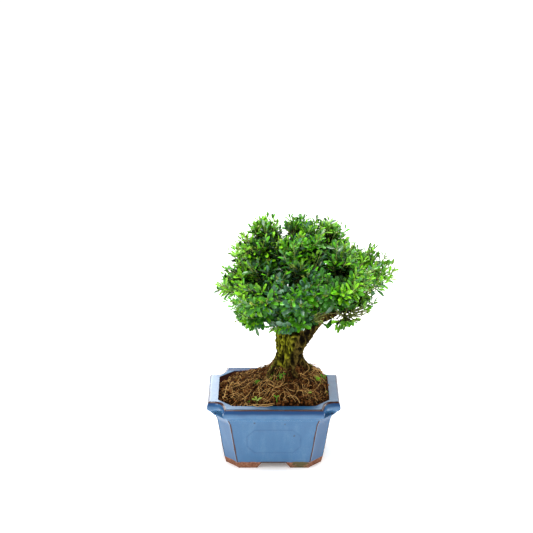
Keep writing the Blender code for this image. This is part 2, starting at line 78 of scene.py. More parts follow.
def new_mesh(name, points, faces, kinds=None):
    """A smooth-shaded mesh from lists of points and faces, and each face's material number."""
    mesh = bpy.data.meshes.new(name)
    mesh.from_pydata(points, [], faces)
    if kinds:
        mesh.polygons.foreach_set("material_index", kinds)
    mesh.shade_smooth()
    return mesh


def add_values(mesh, name, values):
    """One number for each point, which a material reads with an Attribute node."""
    mesh.attributes.new(name, "FLOAT", "POINT").data.foreach_set("value", values)


def soft_step(low, high, value):
    """0 below low, 1 above high, and an even curve between them."""
    share = min(1.0, max(0.0, (value - low) / (high - low)))
    return share * share * (3 - 2 * share)


print("the pot's middle is at", [round(v, 5) for v in MIDDLE])

# %% [markdown]
# ## Camera and light
# A small product like this is shot with a long lens from a little above, so that the pot's sides
# stay upright. The stage is a white sweep: a bright floor, light from all round, and large soft
# boxes. The two behind are low, and their reflection is what turns the flat top of the glazed rim
# pale. The small box above gives the leaves their shine.

# %% Camera
CAMERA_PLACE = Vector((-0.008115, -1.504326, 0.790158))
CAMERA_PITCH = 20.5  # degrees below level
FRAME_PIXELS = 533
FOCAL_PIXELS = 1450.0  # the lens, in pixels of that frame
SENSOR = 36.0

camera_data = bpy.data.cameras.new("camera")
camera_data.sensor_width = SENSOR
camera_data.lens = FOCAL_PIXELS / FRAME_PIXELS * SENSOR
camera_data.clip_end = 50.0
camera = bpy.data.objects.new("camera", camera_data)
camera.location = MIDDLE + CAMERA_PLACE
camera.rotation_euler = (math.radians(90 - CAMERA_PITCH), 0.0, 0.0)
bpy.context.scene.collection.objects.link(camera)
bpy.context.scene.camera = camera
bpy.context.scene.view_settings.view_transform = "Standard"
print("lens", round(camera_data.lens, 1), "mm")

# %% Soft boxes and the white surround
SOFT_BOXES = {  # place, size along and up, watts
    "box_left": ((-1.00, -0.75, 1.15), (0.7, 0.7), 8.0),
    "box_right": ((0.95, 1.00, 1.05), (0.7, 0.7), 10.0),
    "box_behind": ((0.00, 1.50, 0.66), (2.2, 0.7), 5.0),
    "box_behind_left": ((-0.62, 1.35, 0.62), (1.1, 0.5), 6.5),
    "box_above": ((0.00, -0.10, 1.45), (0.6, 0.6), 19.0),
}
AIM = Vector((0.02, 0.0, 0.15))
SURROUND_STRENGTH = 0.56

for name, (place, size, watts) in SOFT_BOXES.items():
    lamp = bpy.data.lights.new(name, "AREA")
    lamp.shape = "RECTANGLE"
    lamp.size, lamp.size_y = size
    lamp.energy = watts
    holder = bpy.data.objects.new(name, lamp)
    holder.location = MIDDLE + Vector(place)
    holder.rotation_euler = (AIM - Vector(place)).to_track_quat("-Z", "Y").to_euler()
    holder.visible_camera = False
    bpy.context.scene.collection.objects.link(holder)

world = bpy.data.worlds.new("white_surround")
world.use_nodes = True
surround = world.node_tree.nodes["Background"].inputs
surround["Color"].default_value = (1.0, 1.0, 1.0, 1.0)
surround["Strength"].default_value = SURROUND_STRENGTH
bpy.context.scene.world = world
print("soft boxes:", ", ".join(SOFT_BOXES))

# %% [markdown]
# ## Shared effects
# Glaze, clay, soil, bark and leaves all need the same few effects: a grain that can be stretched, a
# scatter of small spots, and a blend of three tones. Each one is a node group, built once, that puts
# out a value or a colour. The shader itself always stays in the material.


# %% Helpers for nodes
def node(tree, kind, sockets=None, **settings):
    """A node with its settings, and with each named socket set to a value or linked to another."""
    made = tree.nodes.new(kind)
    for key, value in settings.items():
        setattr(made, key, value)
    for key, value in (sockets or {}).items():
        if isinstance(value, bpy.types.NodeSocket):
            tree.links.new(value, made.inputs[key])
        else:
            made.inputs[key].default_value = value
    return made


def maths(tree, operation, first, second=0.0, third=0.0):
    """The value that a Math node puts out."""
    made = node(tree, "ShaderNodeMath", {0: first, 1: second, 2: third}, operation=operation)
    return made.outputs[0]


def mixed(tree, share, first, second):
    """The colour that lies this share of the way from the first to the second."""
    made = node(tree, "ShaderNodeMix", {0: share, 6: first, 7: second}, data_type="RGBA")
    return made.outputs[2]


def ramped(tree, value, low, high):
    """The value, stretched so that low becomes 0 and high becomes 1, with nothing outside."""
    made = node(tree, "ShaderNodeMapRange", {"Value": value, "From Min": low, "From Max": high})
    return made.outputs["Result"]


def new_group(name, inputs, output):
    """An empty node group with its named sockets: (group, its inputs by name, its output node)."""
    tree = bpy.data.node_groups.new(name, "ShaderNodeTree")
    for label, (kind, value) in inputs.items():
        socket = tree.interface.new_socket(label, in_out="INPUT", socket_type=kind)
        socket.default_value = value
    label, kind = output
    tree.interface.new_socket(label, in_out="OUTPUT", socket_type=kind)
    entry = tree.nodes.new("NodeGroupInput")
    return tree, entry.outputs, tree.nodes.new("NodeGroupOutput")


def use_group(tree, group, label, **sockets):
    """The named output of a group that is placed in a material with its own values."""
    made = tree.nodes.new("ShaderNodeGroup")
    made.node_tree = group
    for key, value in sockets.items():
        socket = made.inputs[key.replace("_", " ")]
        if isinstance(value, bpy.types.NodeSocket):
            tree.links.new(value, socket)
        else:
            socket.default_value = value
    return made.outputs[label]


FLOAT, COLOUR = "NodeSocketFloat", "NodeSocketColor"
print("node helpers are ready")

# %% Group: grain
grain, ins, out = new_group(
    "grain",
    {"Scale": (FLOAT, 100.0), "Stretch": (FLOAT, 1.0), "Detail": (FLOAT, 4.0), "Contrast": (FLOAT, 1.0)},
    ("Value", FLOAT),
)
place = node(grain, "ShaderNodeTexCoord").outputs["Object"]
parts = node(grain, "ShaderNodeSeparateXYZ", {0: place}).outputs
upright = maths(grain, "DIVIDE", parts["Z"], ins["Stretch"])
place = node(grain, "ShaderNodeCombineXYZ", {0: parts["X"], 1: parts["Y"], 2: upright}).outputs[0]
cloud = node(grain, "ShaderNodeTexNoise", {"Vector": place, "Scale": ins["Scale"], "Detail": ins["Detail"]})
centred = maths(grain, "SUBTRACT", cloud.outputs["Fac"], 0.5)
wide = maths(grain, "MULTIPLY_ADD", centred, ins["Contrast"], 0.5)
grain.links.new(node(grain, "ShaderNodeClamp", {"Value": wide}).outputs[0], out.inputs["Value"])
print("group", grain.name)

# %% Group: spots
spots, ins, out = new_group(
    "spots",
    {"Scale": (FLOAT, 200.0), "Size": (FLOAT, 0.2), "Share": (FLOAT, 0.5)},
    ("Mask", FLOAT),
)
place = node(spots, "ShaderNodeTexCoord").outputs["Object"]
cells = node(spots, "ShaderNodeTexVoronoi", {"Vector": place, "Scale": ins["Scale"]})
near = maths(spots, "LESS_THAN", cells.outputs["Distance"], ins["Size"])
draw = node(spots, "ShaderNodeSeparateColor", {0: cells.outputs["Color"]}).outputs[0]
picked = maths(spots, "LESS_THAN", draw, ins["Share"])
spots.links.new(maths(spots, "MULTIPLY", near, picked), out.inputs["Mask"])
print("group", spots.name)

# %% Group: three tones
tones, ins, out = new_group(
    "three tones",
    {
        "Value": (FLOAT, 0.5),
        "Dark": (COLOUR, (0.1, 0.1, 0.1, 1.0)),
        "Middle": (COLOUR, (0.3, 0.3, 0.3, 1.0)),
        "Light": (COLOUR, (0.6, 0.6, 0.6, 1.0)),
    },
    ("Colour", COLOUR),
)
lower = mixed(tones, ramped(tones, ins["Value"], 0.0, 0.5), ins["Dark"], ins["Middle"])
whole = mixed(tones, ramped(tones, ins["Value"], 0.5, 1.0), lower, ins["Light"])
tones.links.new(whole, out.inputs["Colour"])
print("group", tones.name)

# %% Helpers for materials
def new_material(name):
    """A material with a Principled shader: (material, its nodes, the shader's input sockets)."""
    material = bpy.data.materials.new(name)
    material.use_nodes = True
    return material, material.node_tree, material.node_tree.nodes["Principled BSDF"].inputs


def colour(red, green, blue):
    """The four numbers of an opaque colour."""
    return (red, green, blue, 1.0)


def three_tones(tree, value, dark, middle, light):
    """A colour that runs from dark through middle to light as the value goes from 0 to 1."""
    return use_group(
        tree, tones, "Colour", Value=value, Dark=colour(*dark), Middle=colour(*middle), Light=colour(*light)
    )


def shades(tree, value, tone, darker, lighter):
    """The same with one tone, made darker and lighter by these factors."""
    dark, light = [c * darker for c in tone], [c * lighter for c in tone]
    return three_tones(tree, value, dark, tone, light)


def stored(tree, name):
    """The value that the mesh's points hold under this name."""
    return node(tree, "ShaderNodeAttribute", attribute_name=name).outputs["Fac"]


def distance_from(tree, place):
    """How far each point of the surface is from a place, in metres."""
    here = node(tree, "ShaderNodeTexCoord").outputs["Object"]
    made = node(tree, "ShaderNodeVectorMath", {0: here, 1: tuple(place)}, operation="DISTANCE")
    return made.outputs["Value"]


def bump(tree, height, strength, distance):
    """A normal from a height, in metres."""
    made = node(tree, "ShaderNodeBump", {"Height": height, "Strength": strength, "Distance": distance})
    return made.outputs["Normal"]


print("material helpers are ready")

# %% [markdown]
# ## The floor
# The floor isn't part of the plant. It is a wide, matt, nearly white sheet, with a hardly visible grain
# that keeps it from looking like an empty render. It glows a little, as a sweep that is lit from all round
# does, and under the pot a painted shadow makes that glow weaker and warmer.

# %% Floor
FLOOR_HALF = 12.0
FLOOR_GLOW = 0.54
# painted shadow under the pot: over these distances the floor's glow comes back from a dim warm grey to
# full
PAINTED_SHADOW_REACH = (0.030, 0.075)  # distances from under the pot over which the full glow comes in
floor_material, tree, shader = new_material("floor_paper")
paper = use_group(tree, grain, "Value", Scale=9.0, Detail=2.0, Contrast=1.0)
white = three_tones(tree, paper, (0.90, 0.90, 0.90), (0.92, 0.92, 0.92), (0.94, 0.94, 0.94))
tree.links.new(white, shader["Base Color"])
# painted shadow: near the pot the floor's glow is mixed towards a dim warm grey
outside_painted_shadow = ramped(tree, distance_from(tree, MIDDLE), *PAINTED_SHADOW_REACH)
tree.links.new(mixed(tree, outside_painted_shadow, colour(0.30, 0.28, 0.27), white), shader["Emission Color"])
shader["Emission Strength"].default_value = FLOOR_GLOW
shader["Roughness"].default_value = 0.9
shader["Specular IOR Level"].default_value = 0.1
corners = [(x * FLOOR_HALF, y * FLOOR_HALF, 0.0) for x, y in ((-1, -1), (1, -1), (1, 1), (-1, 1))]
floor_mesh = new_mesh("floor", corners, [(0, 1, 2, 3)])
floor_mesh.materials.append(floor_material)
floor = bpy.data.objects.new("floor", floor_mesh)
bpy.context.scene.collection.objects.link(floor)
print("floor", 2 * FLOOR_HALF, "m wide")

# %% [markdown]
# ## The pot
# It is a pressed stoneware bonsai pot. Its four panels stand a little proud of cut corners, its rim is
# stepped in at the corners, and it stands on four unglazed feet. The frame holds the same shape
# with few faces. Here it is lofted again through many more rings of points, close enough together to
# carry relief: a faint cartouche pressed into the long panels, and the unevenness of a thick glaze.
# The arches between the feet need no cutting: the lowest points of each ring are lifted to them.

# %% Sizes of the pot
POT_LENGTH = 0.150
POT_DEPTH = 0.119
POT_HEIGHT = 0.0795
RIM_OVERHANG = 0.0015
RIM_TOP_WIDTH = 0.0110
RIM_START = 0.0660  # height where the rim's own glaze begins
BODY_TOP = 0.0635
FOOT_HEIGHT = 0.008
FOOT_CORNER = 0.008
FLOOR_TOP = 0.015
BODY_CORNER = 0.0142
PANEL_STEP = 0.0012
NOTCH_LENGTH = 0.0190
NOTCH_DEPTH = 0.0205
NOTCH_FROM = 0.0672  # height from which the corner is fully stepped in
MOUTH_CORNER = 0.0165
FRONT_SLOPE = 0.77  # share of the short sides' lean that the long ones have
TOP_HALF_X = POT_LENGTH / 2 - RIM_OVERHANG
TOP_HALF_Y = POT_DEPTH / 2 - RIM_OVERHANG
MOUTH_X = TOP_HALF_X - RIM_TOP_WIDTH
MOUTH_Y = TOP_HALF_Y - RIM_TOP_WIDTH
BODY_PROFILE = (  # height, and how far in from the rim's top edge
    (0.0000, 0.0195),
    (FOOT_HEIGHT, 0.0176),
    (0.0240, 0.0150),
    (0.0440, 0.0122),
    (0.0580, 0.0100),
    (BODY_TOP, 0.0080),
)
RIM_PROFILE = (
    (BODY_TOP, 0.0080),
    (0.0648, 0.0052),
    (0.0668, 0.0022),
    (0.0700, -RIM_OVERHANG * 0.5),
    (0.0735, -RIM_OVERHANG),
    (0.0768, -RIM_OVERHANG * 0.55),
    (0.0788, 0.0004),
    (POT_HEIGHT, 0.0018),
)
INSIDE_PROFILE = ((0.0794, -0.0002), (0.0786, 0.0), (0.0620, 0.0030), (FLOOR_TOP, 0.0120))
RIM_TOP_SHARES = (0.12, 0.45, 0.80, 0.94)  # rings across the flat top, from its outside to the mouth
COLUMNS_FRONT = 92
COLUMNS_SIDE = 60
CORNER_POINTS = 22
ROW_STEP = 0.0010
print("pot", POT_LENGTH, "by", POT_DEPTH, "by", POT_HEIGHT, "m")


# %% Lines and rings
def smooth_line(points, steps=3):
    """Points on one smooth curve through the given ones."""
    points = [Vector(p) for p in points]
    ends = [2 * points[0] - points[1], *points, 2 * points[-1] - points[-2]]
    line = []
    for a, b, c, d in zip(ends, ends[1:], ends[2:], ends[3:]):
        for i in range(steps):
            t = i / steps
            square = (2 * a - 5 * b + 4 * c - d) * t**2
            cube = (3 * b - a - 3 * c + d) * t**3
            line.append(0.5 * (2 * b + (c - a) * t + square + cube))
    return [*line, points[-1]]


def spread(line, count):
    """The same open line with this many evenly spaced points."""
    lengths = [0.0]
    for a, b in zip(line, line[1:]):
        lengths.append(lengths[-1] + (b - a).length)
    found, at = [], 0
    for i in range(count):
        goal = lengths[-1] * i / (count - 1)
        while at < len(line) - 2 and lengths[at + 1] < goal:
            at += 1
        step = lengths[at + 1] - lengths[at]
        found.append(line[at].lerp(line[at + 1], (goal - lengths[at]) / step))
    return found


def between(a, b, count):
    """The points that divide the line from a to b, without its ends."""
    return [a.lerp(b, i / count) for i in range(1, count)]


def ring(half_x, half_y, corner, z):
    """A closed outline with the same corner four times, at height z."""
    quarter = [Vector((half_x - c.x, half_y - c.y, z)) for c in corner]
    mirrored = [Vector((-p.x, p.y, z)) for p in reversed(quarter)]
    upper = quarter + between(quarter[-1], mirrored[0], COLUMNS_FRONT) + mirrored
    opposite = Vector((upper[-1].x, -upper[-1].y, z))
    upper += between(upper[-1], opposite, COLUMNS_SIDE)
    return upper + [Vector((-p.x, -p.y, z)) for p in upper]


def loft(rings):
    """Points and faces of the skin through the rings, closed by a fan at both ends."""
    points = [p for row in rings for p in row]
    count = len(rings[0])
    faces = []
    for row in range(len(rings) - 1):
        for i in range(count):
            j = (i + 1) % count
            low, high = row * count, (row + 1) * count
            faces.append((low + i, low + j, high + j, high + i))
    for start, turned in ((0, True), ((len(rings) - 1) * count, False)):
        points.append(sum(points[start : start + count], Vector()) / count)
        for i in range(count):
            edge = (start + i, start + (i + 1) % count)
            faces.append((*(reversed(edge) if turned else edge), len(points) - 1))
    return points, faces


print("ring of", len(ring(1, 1, [Vector()] * CORNER_POINTS, 0)), "points")


# %% Corners and profile of the pot
def body_corner(size, step):
    """The cut across a corner, from the side panel to the front one, with a small bead on each edge."""
    bead = ((0.0, 0.0016), (-0.0003, 0.0009), (-0.0002, 0.0002), (0.0006, -0.0002))
    first = [Vector((a, size + b, 0)) for a, b in bead]
    last = [Vector((size + b, a, 0)) for a, b in reversed(bead)]
    flat_count = CORNER_POINTS - 2 * len(bead)
    inner = step * 0.7
    near, far = Vector((inner + 0.0003, size - 0.0004, 0)), Vector((size - 0.0004, inner + 0.0003, 0))
    return first + spread([near, far], flat_count) + last


def notched_corner(length, depth):
    """A stepped-in corner with a round inside."""
    shares = ((0.0, 1.0), (0.42, 0.99), (0.70, 0.86), (0.86, 0.60), (0.93, 0.30), (1.0, 0.0))
    return spread(smooth_line([(length * a, depth * b, 0) for a, b in shares], 6), CORNER_POINTS)


def inset_at(profile, z):
    """How far the side is in from the rim's top edge at height z."""
    for (low, low_inset), (high, high_inset) in zip(profile, profile[1:]):
        if z <= high:
            return low_inset + (high_inset - low_inset) * (z - low) / (high - low)
    return profile[-1][1]


def body_half(z):
    """Half the length and half the depth of the body at height z."""
    inset = inset_at(BODY_PROFILE, z)
    return TOP_HALF_X - inset, TOP_HALF_Y - inset * FRONT_SLOPE


def mouth_ring(z, inset):
    """The outline of the mouth with its cut corners, this far inside its edge."""
    cut = [Vector((0, MOUTH_CORNER, 0)), Vector((MOUTH_CORNER, 0, 0))]
    return ring(MOUTH_X - inset, MOUTH_Y - inset, spread(cut, CORNER_POINTS), z)


FOOT_RING = 0.0125
FRONT_ARCH = (0.0188, 0.0138)  # half widths of the opening between two feet, below and above
SIDE_ARCH = (0.0125, 0.0085)
ARCH_TOP = 0.0068


def foot_lift(p):
    """Height of the opening between the feet at this point of the foot ring."""
    half_x, half_y = body_half(0.0)
    side_gap = half_x - abs(p.x)
    front_gap = half_y - abs(p.y)
    across, (low, high) = (abs(p.x), FRONT_ARCH) if front_gap < side_gap else (abs(p.y), SIDE_ARCH)
    return ARCH_TOP * min(1.0, max(0.0, (low - across) / (low - high)))


print("body half widths at the top", [round(v, 4) for v in body_half(BODY_TOP)])

# %% Loft the pot
rings = []
base_inset = BODY_PROFILE[0][1] + FOOT_RING
foot_corner = spread([Vector((0, FOOT_CORNER, 0)), Vector((FOOT_CORNER, 0, 0))], CORNER_POINTS)
hollow_x, hollow_y = TOP_HALF_X - base_inset, TOP_HALF_Y - base_inset * FRONT_SLOPE
for z in (FOOT_HEIGHT - 0.0002, 0.0):
    rings.append(ring(hollow_x, hollow_y, foot_corner, z))
rows = round(BODY_TOP / ROW_STEP)
cut_corner = body_corner(BODY_CORNER, PANEL_STEP)
for row in range(rows):
    z = BODY_TOP * row / rows
    rings.append(ring(*body_half(z), cut_corner, z))
rim_corner = notched_corner(NOTCH_LENGTH, NOTCH_DEPTH)
for p in smooth_line([(inset, 0, z) for z, inset in RIM_PROFILE], 4):
    share = soft_step(BODY_TOP, NOTCH_FROM, p.z)
    corner = [a.lerp(b, share) for a, b in zip(cut_corner, rim_corner)]
    slope = FRONT_SLOPE + (1 - FRONT_SLOPE) * share
    rings.append(ring(TOP_HALF_X - p.x, TOP_HALF_Y - p.x * slope, corner, p.z))
rim_end = sum(len(row) for row in rings)
outer, inner = rings[-1], mouth_ring(*INSIDE_PROFILE[0])
for share in RIM_TOP_SHARES:
    rings.append([a.lerp(b, share) for a, b in zip(outer, inner)])
rings.append(inner)
inside_from = sum(len(row) for row in rings)
for z, inset in INSIDE_PROFILE[1:]:
    rings.append(mouth_ring(z, inset))
points, faces = loft(rings)
foot_rings = 2 + round(ARCH_TOP / ROW_STEP) + 1
for p in points[len(rings[0]) : len(rings[0]) * foot_rings]:
    p.z = max(p.z, foot_lift(p))
print(len(rings), "rings,", len(points), "points")

# %% Press the relief into the pot
PLAQUE_HALF = (0.0300, 0.0150)
PLAQUE_CUT = 0.0085
PLAQUE_LEVEL = 0.0355
PLAQUE_LINE = 0.0009
PLAQUE_DEPTH = 0.00036
PLAQUE_DEEP = 0.40  # how much glaze pools in the line of the cartouche
# painted shade on the cut corners, stronger on the right, where less light falls
CORNER_PAINTED_SHADE = {"left": 0.26, "right": 0.55}
BEAD = 0.0006  # from the corner of a panel to the middle of its bead
UNDER_RIM = 0.0642
THIN_UNDER_RIM = 0.40
RIM_EDGE = 0.0789
# painted shade along the tops of the arches between the feet
ARCH_PAINTED_SHADE = 0.9
SURFACE_WAVE = 0.00010
PIT_DEPTH = 0.0004
PITS = ((-0.0215, 0.0600), (0.0125, 0.0585), (0.0230, 0.0430))  # x and z on the front panel


def plaque_edge(x, z):
    """How far a point of the long panels is from the outline of the pressed cartouche."""
    across = abs(x) - PLAQUE_HALF[0]
    up = abs(z - PLAQUE_LEVEL) - PLAQUE_HALF[1]
    cut = (across + up + PLAQUE_CUT) * math.sqrt(0.5)
    return abs(max(across, up, cut))


edge_wear_and_shade_values, deep_glaze_and_shade_values, thin_values, pit_and_shade_values = [], [], [], []
for i, p in enumerate(points):
    half_x, half_y = body_half(min(p.z, BODY_TOP))
    to_side, to_front = half_x - abs(p.x), half_y - abs(p.y)
    outside = FOOT_HEIGHT < p.z < RIM_START and min(to_side, to_front) < 0.012
    wave = noise.noise(p * 60) + 0.5 * noise.noise(p * 140)
    edge = deep = thin = pit_and_shade = 0.0
    if outside:
        on_bead = min(
            math.hypot(to_side, to_front - BODY_CORNER - BEAD),
            math.hypot(to_side - BODY_CORNER - BEAD, to_front),
        )
        edge = 1 - soft_step(0.0004, 0.0014, on_bead + 0.0004 * wave)
        across_corner = min(to_side, to_front) > 0.0016 and max(to_side, to_front) < BODY_CORNER
        # the cut corners get the dark glaze colour as painted shade
        if across_corner:
            deep = CORNER_PAINTED_SHADE["right" if p.x > 0 else "left"]
        panel = to_front < 0.001 and abs(p.x) < half_x - BODY_CORNER
        if panel:
            groove = 1 - soft_step(0.0, PLAQUE_LINE, plaque_edge(p.x, p.z))
            p.y += math.copysign(PLAQUE_DEPTH * groove, -p.y)
            deep = PLAQUE_DEEP * groove
            if p.y < 0:
                pit_and_shade = max(1 - soft_step(0.0004, 0.0012, math.hypot(p.x - x, p.z - z)) for x, z in PITS)
                p.y += PIT_DEPTH * pit_and_shade
        thin = THIN_UNDER_RIM * (1 - soft_step(0.0, 0.0022, abs(p.z - UNDER_RIM)))
        p.x += math.copysign(SURFACE_WAVE * wave, p.x)
    elif p.z >= RIM_START:
        to_rim = min(TOP_HALF_X - abs(p.x), TOP_HALF_Y - abs(p.y))
        in_notch = soft_step(0.0, 0.003, abs(p.x) - TOP_HALF_X + NOTCH_LENGTH)
        in_notch *= soft_step(0.0, 0.003, abs(p.y) - TOP_HALF_Y + NOTCH_DEPTH)
        deep = soft_step(0.0722, 0.0758, p.z + 0.0010 * wave) * (1 - soft_step(0.0780, 0.0792, p.z))
        deep *= 1 - 0.5 * in_notch
        along_side = to_rim < 0.003 and abs(p.y) < TOP_HALF_Y - NOTCH_DEPTH - 0.002
        if i < rim_end:
            edge = (1 - soft_step(0.0004, 0.0010, abs(p.z - RIM_EDGE))) * (0.98 + 0.5 * wave)
        if along_side:
            edge *= 0.5
        # painted shade: the back strip of the rim's top takes the full dark glaze colour
        if i >= rim_end and p.y > MOUTH_Y:
            deep = 1.0
        thin = THIN_UNDER_RIM * (1 - soft_step(0.0662, 0.0685, p.z))
    # painted shade: the tops of the arches between the feet take the dark pit colour
    if FOOT_HEIGHT - 0.0022 < p.z < FOOT_HEIGHT + 0.0002 and foot_lift(p) > 0.8 * ARCH_TOP:
        pit_and_shade = ARCH_PAINTED_SHADE
    # painted shade: the whole inside wall takes the dark brown edge colour, with no deep or thin glaze
    if i >= inside_from:
        edge, deep, thin = 1.0, 0.0, 0.0
    edge_wear_and_shade_values.append(max(0.0, min(1.0, edge)))
    deep_glaze_and_shade_values.append(deep)
    thin_values.append(thin)
    pit_and_shade_values.append(pit_and_shade)
print("deepest pit", round(max(pit_and_shade_values), 2))

# %% [markdown]
# The glaze is a milky mid blue that runs thin over edges, where the brown body shows through, and pools
# dark on the roll of the rim. Mostly thickness is what changes, so the mesh stores four numbers for each
# point (edge, deep, thin, and pits with painted shade) and the material turns them into colour. Some of
# these numbers also carry painted shade: deep darkens the cut corners, more on the right, and the back
# strip of the rim's top; edge gives the whole inside wall the dark brown of bare body; the pit number
# darkens the tops of the arches between the feet. The feet have no glaze: a mask of height, roughened by
# grain, changes the same surface to matt red clay.

# %% Glaze
COAT = 0.58  # of a full clear coat on plain glaze, and what deep, thin and worn glaze takes off it
# worn glaze and the inside wall's painted shade both take coat off
COAT_LOSS = {"deep": 0.30, "thin": 1.1, "worn_and_inside_shade": 0.4}
GLAZE_ROUGHNESS = 0.14
CLAY_ROUGHNESS = 0.86
STAIN = Vector((0.0300, -0.0460, 0.0060))  # a green stain on the front right foot
SHARP_ANGLE = 65  # degrees between faces, from which an edge is drawn sharp

glaze, tree, shader = new_material("blue_glaze")
here = node(tree, "ShaderNodeTexCoord").outputs["Object"]
height = node(tree, "ShaderNodeSeparateXYZ", {0: here}).outputs["Z"]
milk = use_group(tree, grain, "Value", Scale=85.0, Stretch=2.2, Detail=5.0, Contrast=1.9)
fine = use_group(tree, grain, "Value", Scale=900.0, Stretch=1.0, Detail=3.0, Contrast=1.6)
cloudy = maths(tree, "MULTIPLY_ADD", fine, 0.35, maths(tree, "MULTIPLY", milk, 0.65))
body_blue = three_tones(tree, cloudy, (0.026, 0.112, 0.250), (0.036, 0.138, 0.292), (0.072, 0.190, 0.350))
# dark blue of pooled glaze, also used as painted shade on the cut corners and the back of the rim's top
with_deep_glaze_and_shade = mixed(tree, stored(tree, "deep"), body_blue, colour(0.012, 0.056, 0.165))
thin_share = maths(tree, "MULTIPLY", stored(tree, "thin"), 0.45)
with_thin = mixed(tree, thin_share, with_deep_glaze_and_shade, colour(0.20, 0.36, 0.52))
# brown where the glaze is worn on edges, and painted shade over the whole inside wall
worn_and_inside_shade = ramped(tree, maths(tree, "MULTIPLY_ADD", fine, 0.35, stored(tree, "edge")), 0.45, 0.95)
with_edge_wear_and_shade = mixed(tree, worn_and_inside_shade, with_thin, colour(0.052, 0.018, 0.016))
clay_grain = use_group(tree, grain, "Value", Scale=420.0, Detail=6.0, Contrast=2.0)
clay = three_tones(tree, clay_grain, (0.120, 0.042, 0.022), (0.245, 0.100, 0.055), (0.380, 0.190, 0.115))
from_stain = maths(tree, "MULTIPLY_ADD", clay_grain, 0.010, distance_from(tree, MIDDLE + STAIN))
stained = maths(tree, "SUBTRACT", 1.0, ramped(tree, from_stain, 0.011, 0.017))
clay = mixed(tree, maths(tree, "MULTIPLY", stained, 0.8), clay, colour(0.085, 0.095, 0.040))
ragged = use_group(tree, grain, "Value", Scale=110.0, Detail=3.0, Contrast=1.5)
line = maths(tree, "MULTIPLY_ADD", ragged, -0.0022, height)
glazed = ramped(tree, line, FOOT_HEIGHT - 0.0013, FOOT_HEIGHT - 0.0007)
surface = mixed(tree, glazed, clay, with_edge_wear_and_shade)
# dark colour of real pits in the glaze, and of the painted shade at the tops of the arches
with_pits_and_shade = mixed(tree, stored(tree, "pit_and_shade"), surface, colour(0.030, 0.018, 0.010))
tree.links.new(with_pits_and_shade, shader["Base Color"])
polish = GLAZE_ROUGHNESS - CLAY_ROUGHNESS
tree.links.new(maths(tree, "MULTIPLY_ADD", glazed, polish, CLAY_ROUGHNESS), shader["Roughness"])
covered = maths(tree, "MULTIPLY_ADD", stored(tree, "deep"), -COAT_LOSS["deep"], COAT)
covered = maths(tree, "MULTIPLY_ADD", stored(tree, "thin"), -COAT_LOSS["thin"], covered)
covered = maths(tree, "MULTIPLY_ADD", worn_and_inside_shade, -COAT_LOSS["worn_and_inside_shade"], covered)
tree.links.new(maths(tree, "MULTIPLY", glazed, covered), shader["Coat Weight"])
shader["Specular IOR Level"].default_value = 0.2
shader["Coat Roughness"].default_value = 0.06
shader["Coat IOR"].default_value = 1.55
rough_clay = maths(tree, "MULTIPLY", clay_grain, maths(tree, "SUBTRACT", 1.0, glazed))
soft_glaze = maths(tree, "MULTIPLY_ADD", milk, 0.25, rough_clay)
tree.links.new(bump(tree, soft_glaze, 0.35, 0.0006), shader["Normal"])

pot_mesh = new_mesh("pot_glazed", points, faces)
# edge holds worn edges and the inside wall's painted shade; deep holds pooled glaze and painted shade on
# corners and the back of the rim's top
add_values(pot_mesh, "edge", edge_wear_and_shade_values)
add_values(pot_mesh, "deep", deep_glaze_and_shade_values)
add_values(pot_mesh, "thin", thin_values)
add_values(pot_mesh, "pit_and_shade", pit_and_shade_values)
pot_mesh.set_sharp_from_angle(angle=math.radians(SHARP_ANGLE))
add_piece("pot_glazed", pot_mesh, [glaze], ["pot"])

# %% [markdown]
# ## The soil
# The root ball was pressed into the pot with its top heaped round the trunk. Up close it is a tangle:
# dark lumpy peat, crumbs, and many thin tan roots that curl over the surface. The mound is one
# displaced skin; crumbs and root threads are joined meshes that follow its height.

# %% The height of the soil
GROUND = 0.1030  # height of the soil under the trunk
GROUND_FLAT = 0.0265
WALL_LEVEL = 0.0765
WALL_TILT = 0.050
FOOT = Vector((0.0175, 0.0060, 0.0))  # the middle of the trunk's foot
MOUND_REACH = 0.058
MOUND_SKEW = 0.012  # the mound runs out this much further to the left, and less far to the right
LUMPS = ((95, 0.0018), (240, 0.0014), (560, 0.0008))  # how close together, and how high
SUNK = 0.0006
SETTLED = 0.0055
SETTLED_LEFT = 0.0042  # further down, to the left of the trunk
HEAPED = 0.0085  # up round the trunk


def soil_height(x, y):
    """The smooth mound: level under the trunk, then falling away to the pot's wall."""
    away = math.hypot(x - FOOT.x, y - FOOT.y)
    wall = WALL_LEVEL + WALL_TILT * x
    if away <= GROUND_FLAT:
        return GROUND
    reach = MOUND_REACH - MOUND_SKEW * math.cos(math.atan2(y - FOOT.y, x - FOOT.x))
    share = min(1.0, (away - GROUND_FLAT) / (reach - GROUND_FLAT * 0.4))
    return wall + (GROUND - wall) * 0.5 * (1 + math.cos(math.pi * share))


def lumpy_height(x, y):
    """The mound with its lumps, heaped round the trunk and settled between trunk and wall."""
    place = Vector((x, y, 0.0))
    lumps = sum(high * noise.noise(place * fine) for fine, high in LUMPS)
    away = math.hypot(x - FOOT.x, y - FOOT.y)
    settled = SETTLED + SETTLED_LEFT * soft_step(0.004, 0.030, FOOT.x - x)
    settled *= soft_step(0.017, 0.030, away) * (1 - soft_step(0.042, 0.072, away))
    heaped = HEAPED * (1 - soft_step(0.013, 0.024, away))
    return soil_height(x, y) - SUNK - settled + heaped + lumps


def in_mouth(x, y, margin):
    """Whether a point is inside the pot's mouth, this far from its wall."""
    to_side, to_back = MOUTH_X - abs(x) - margin, MOUTH_Y - abs(y) - margin
    return min(to_side, to_back) > 0 and to_side + to_back > MOUTH_CORNER + 0.4 * margin


print("soil to the right of the trunk is", round(lumpy_height(0.045, 0.0), 4), "m up")

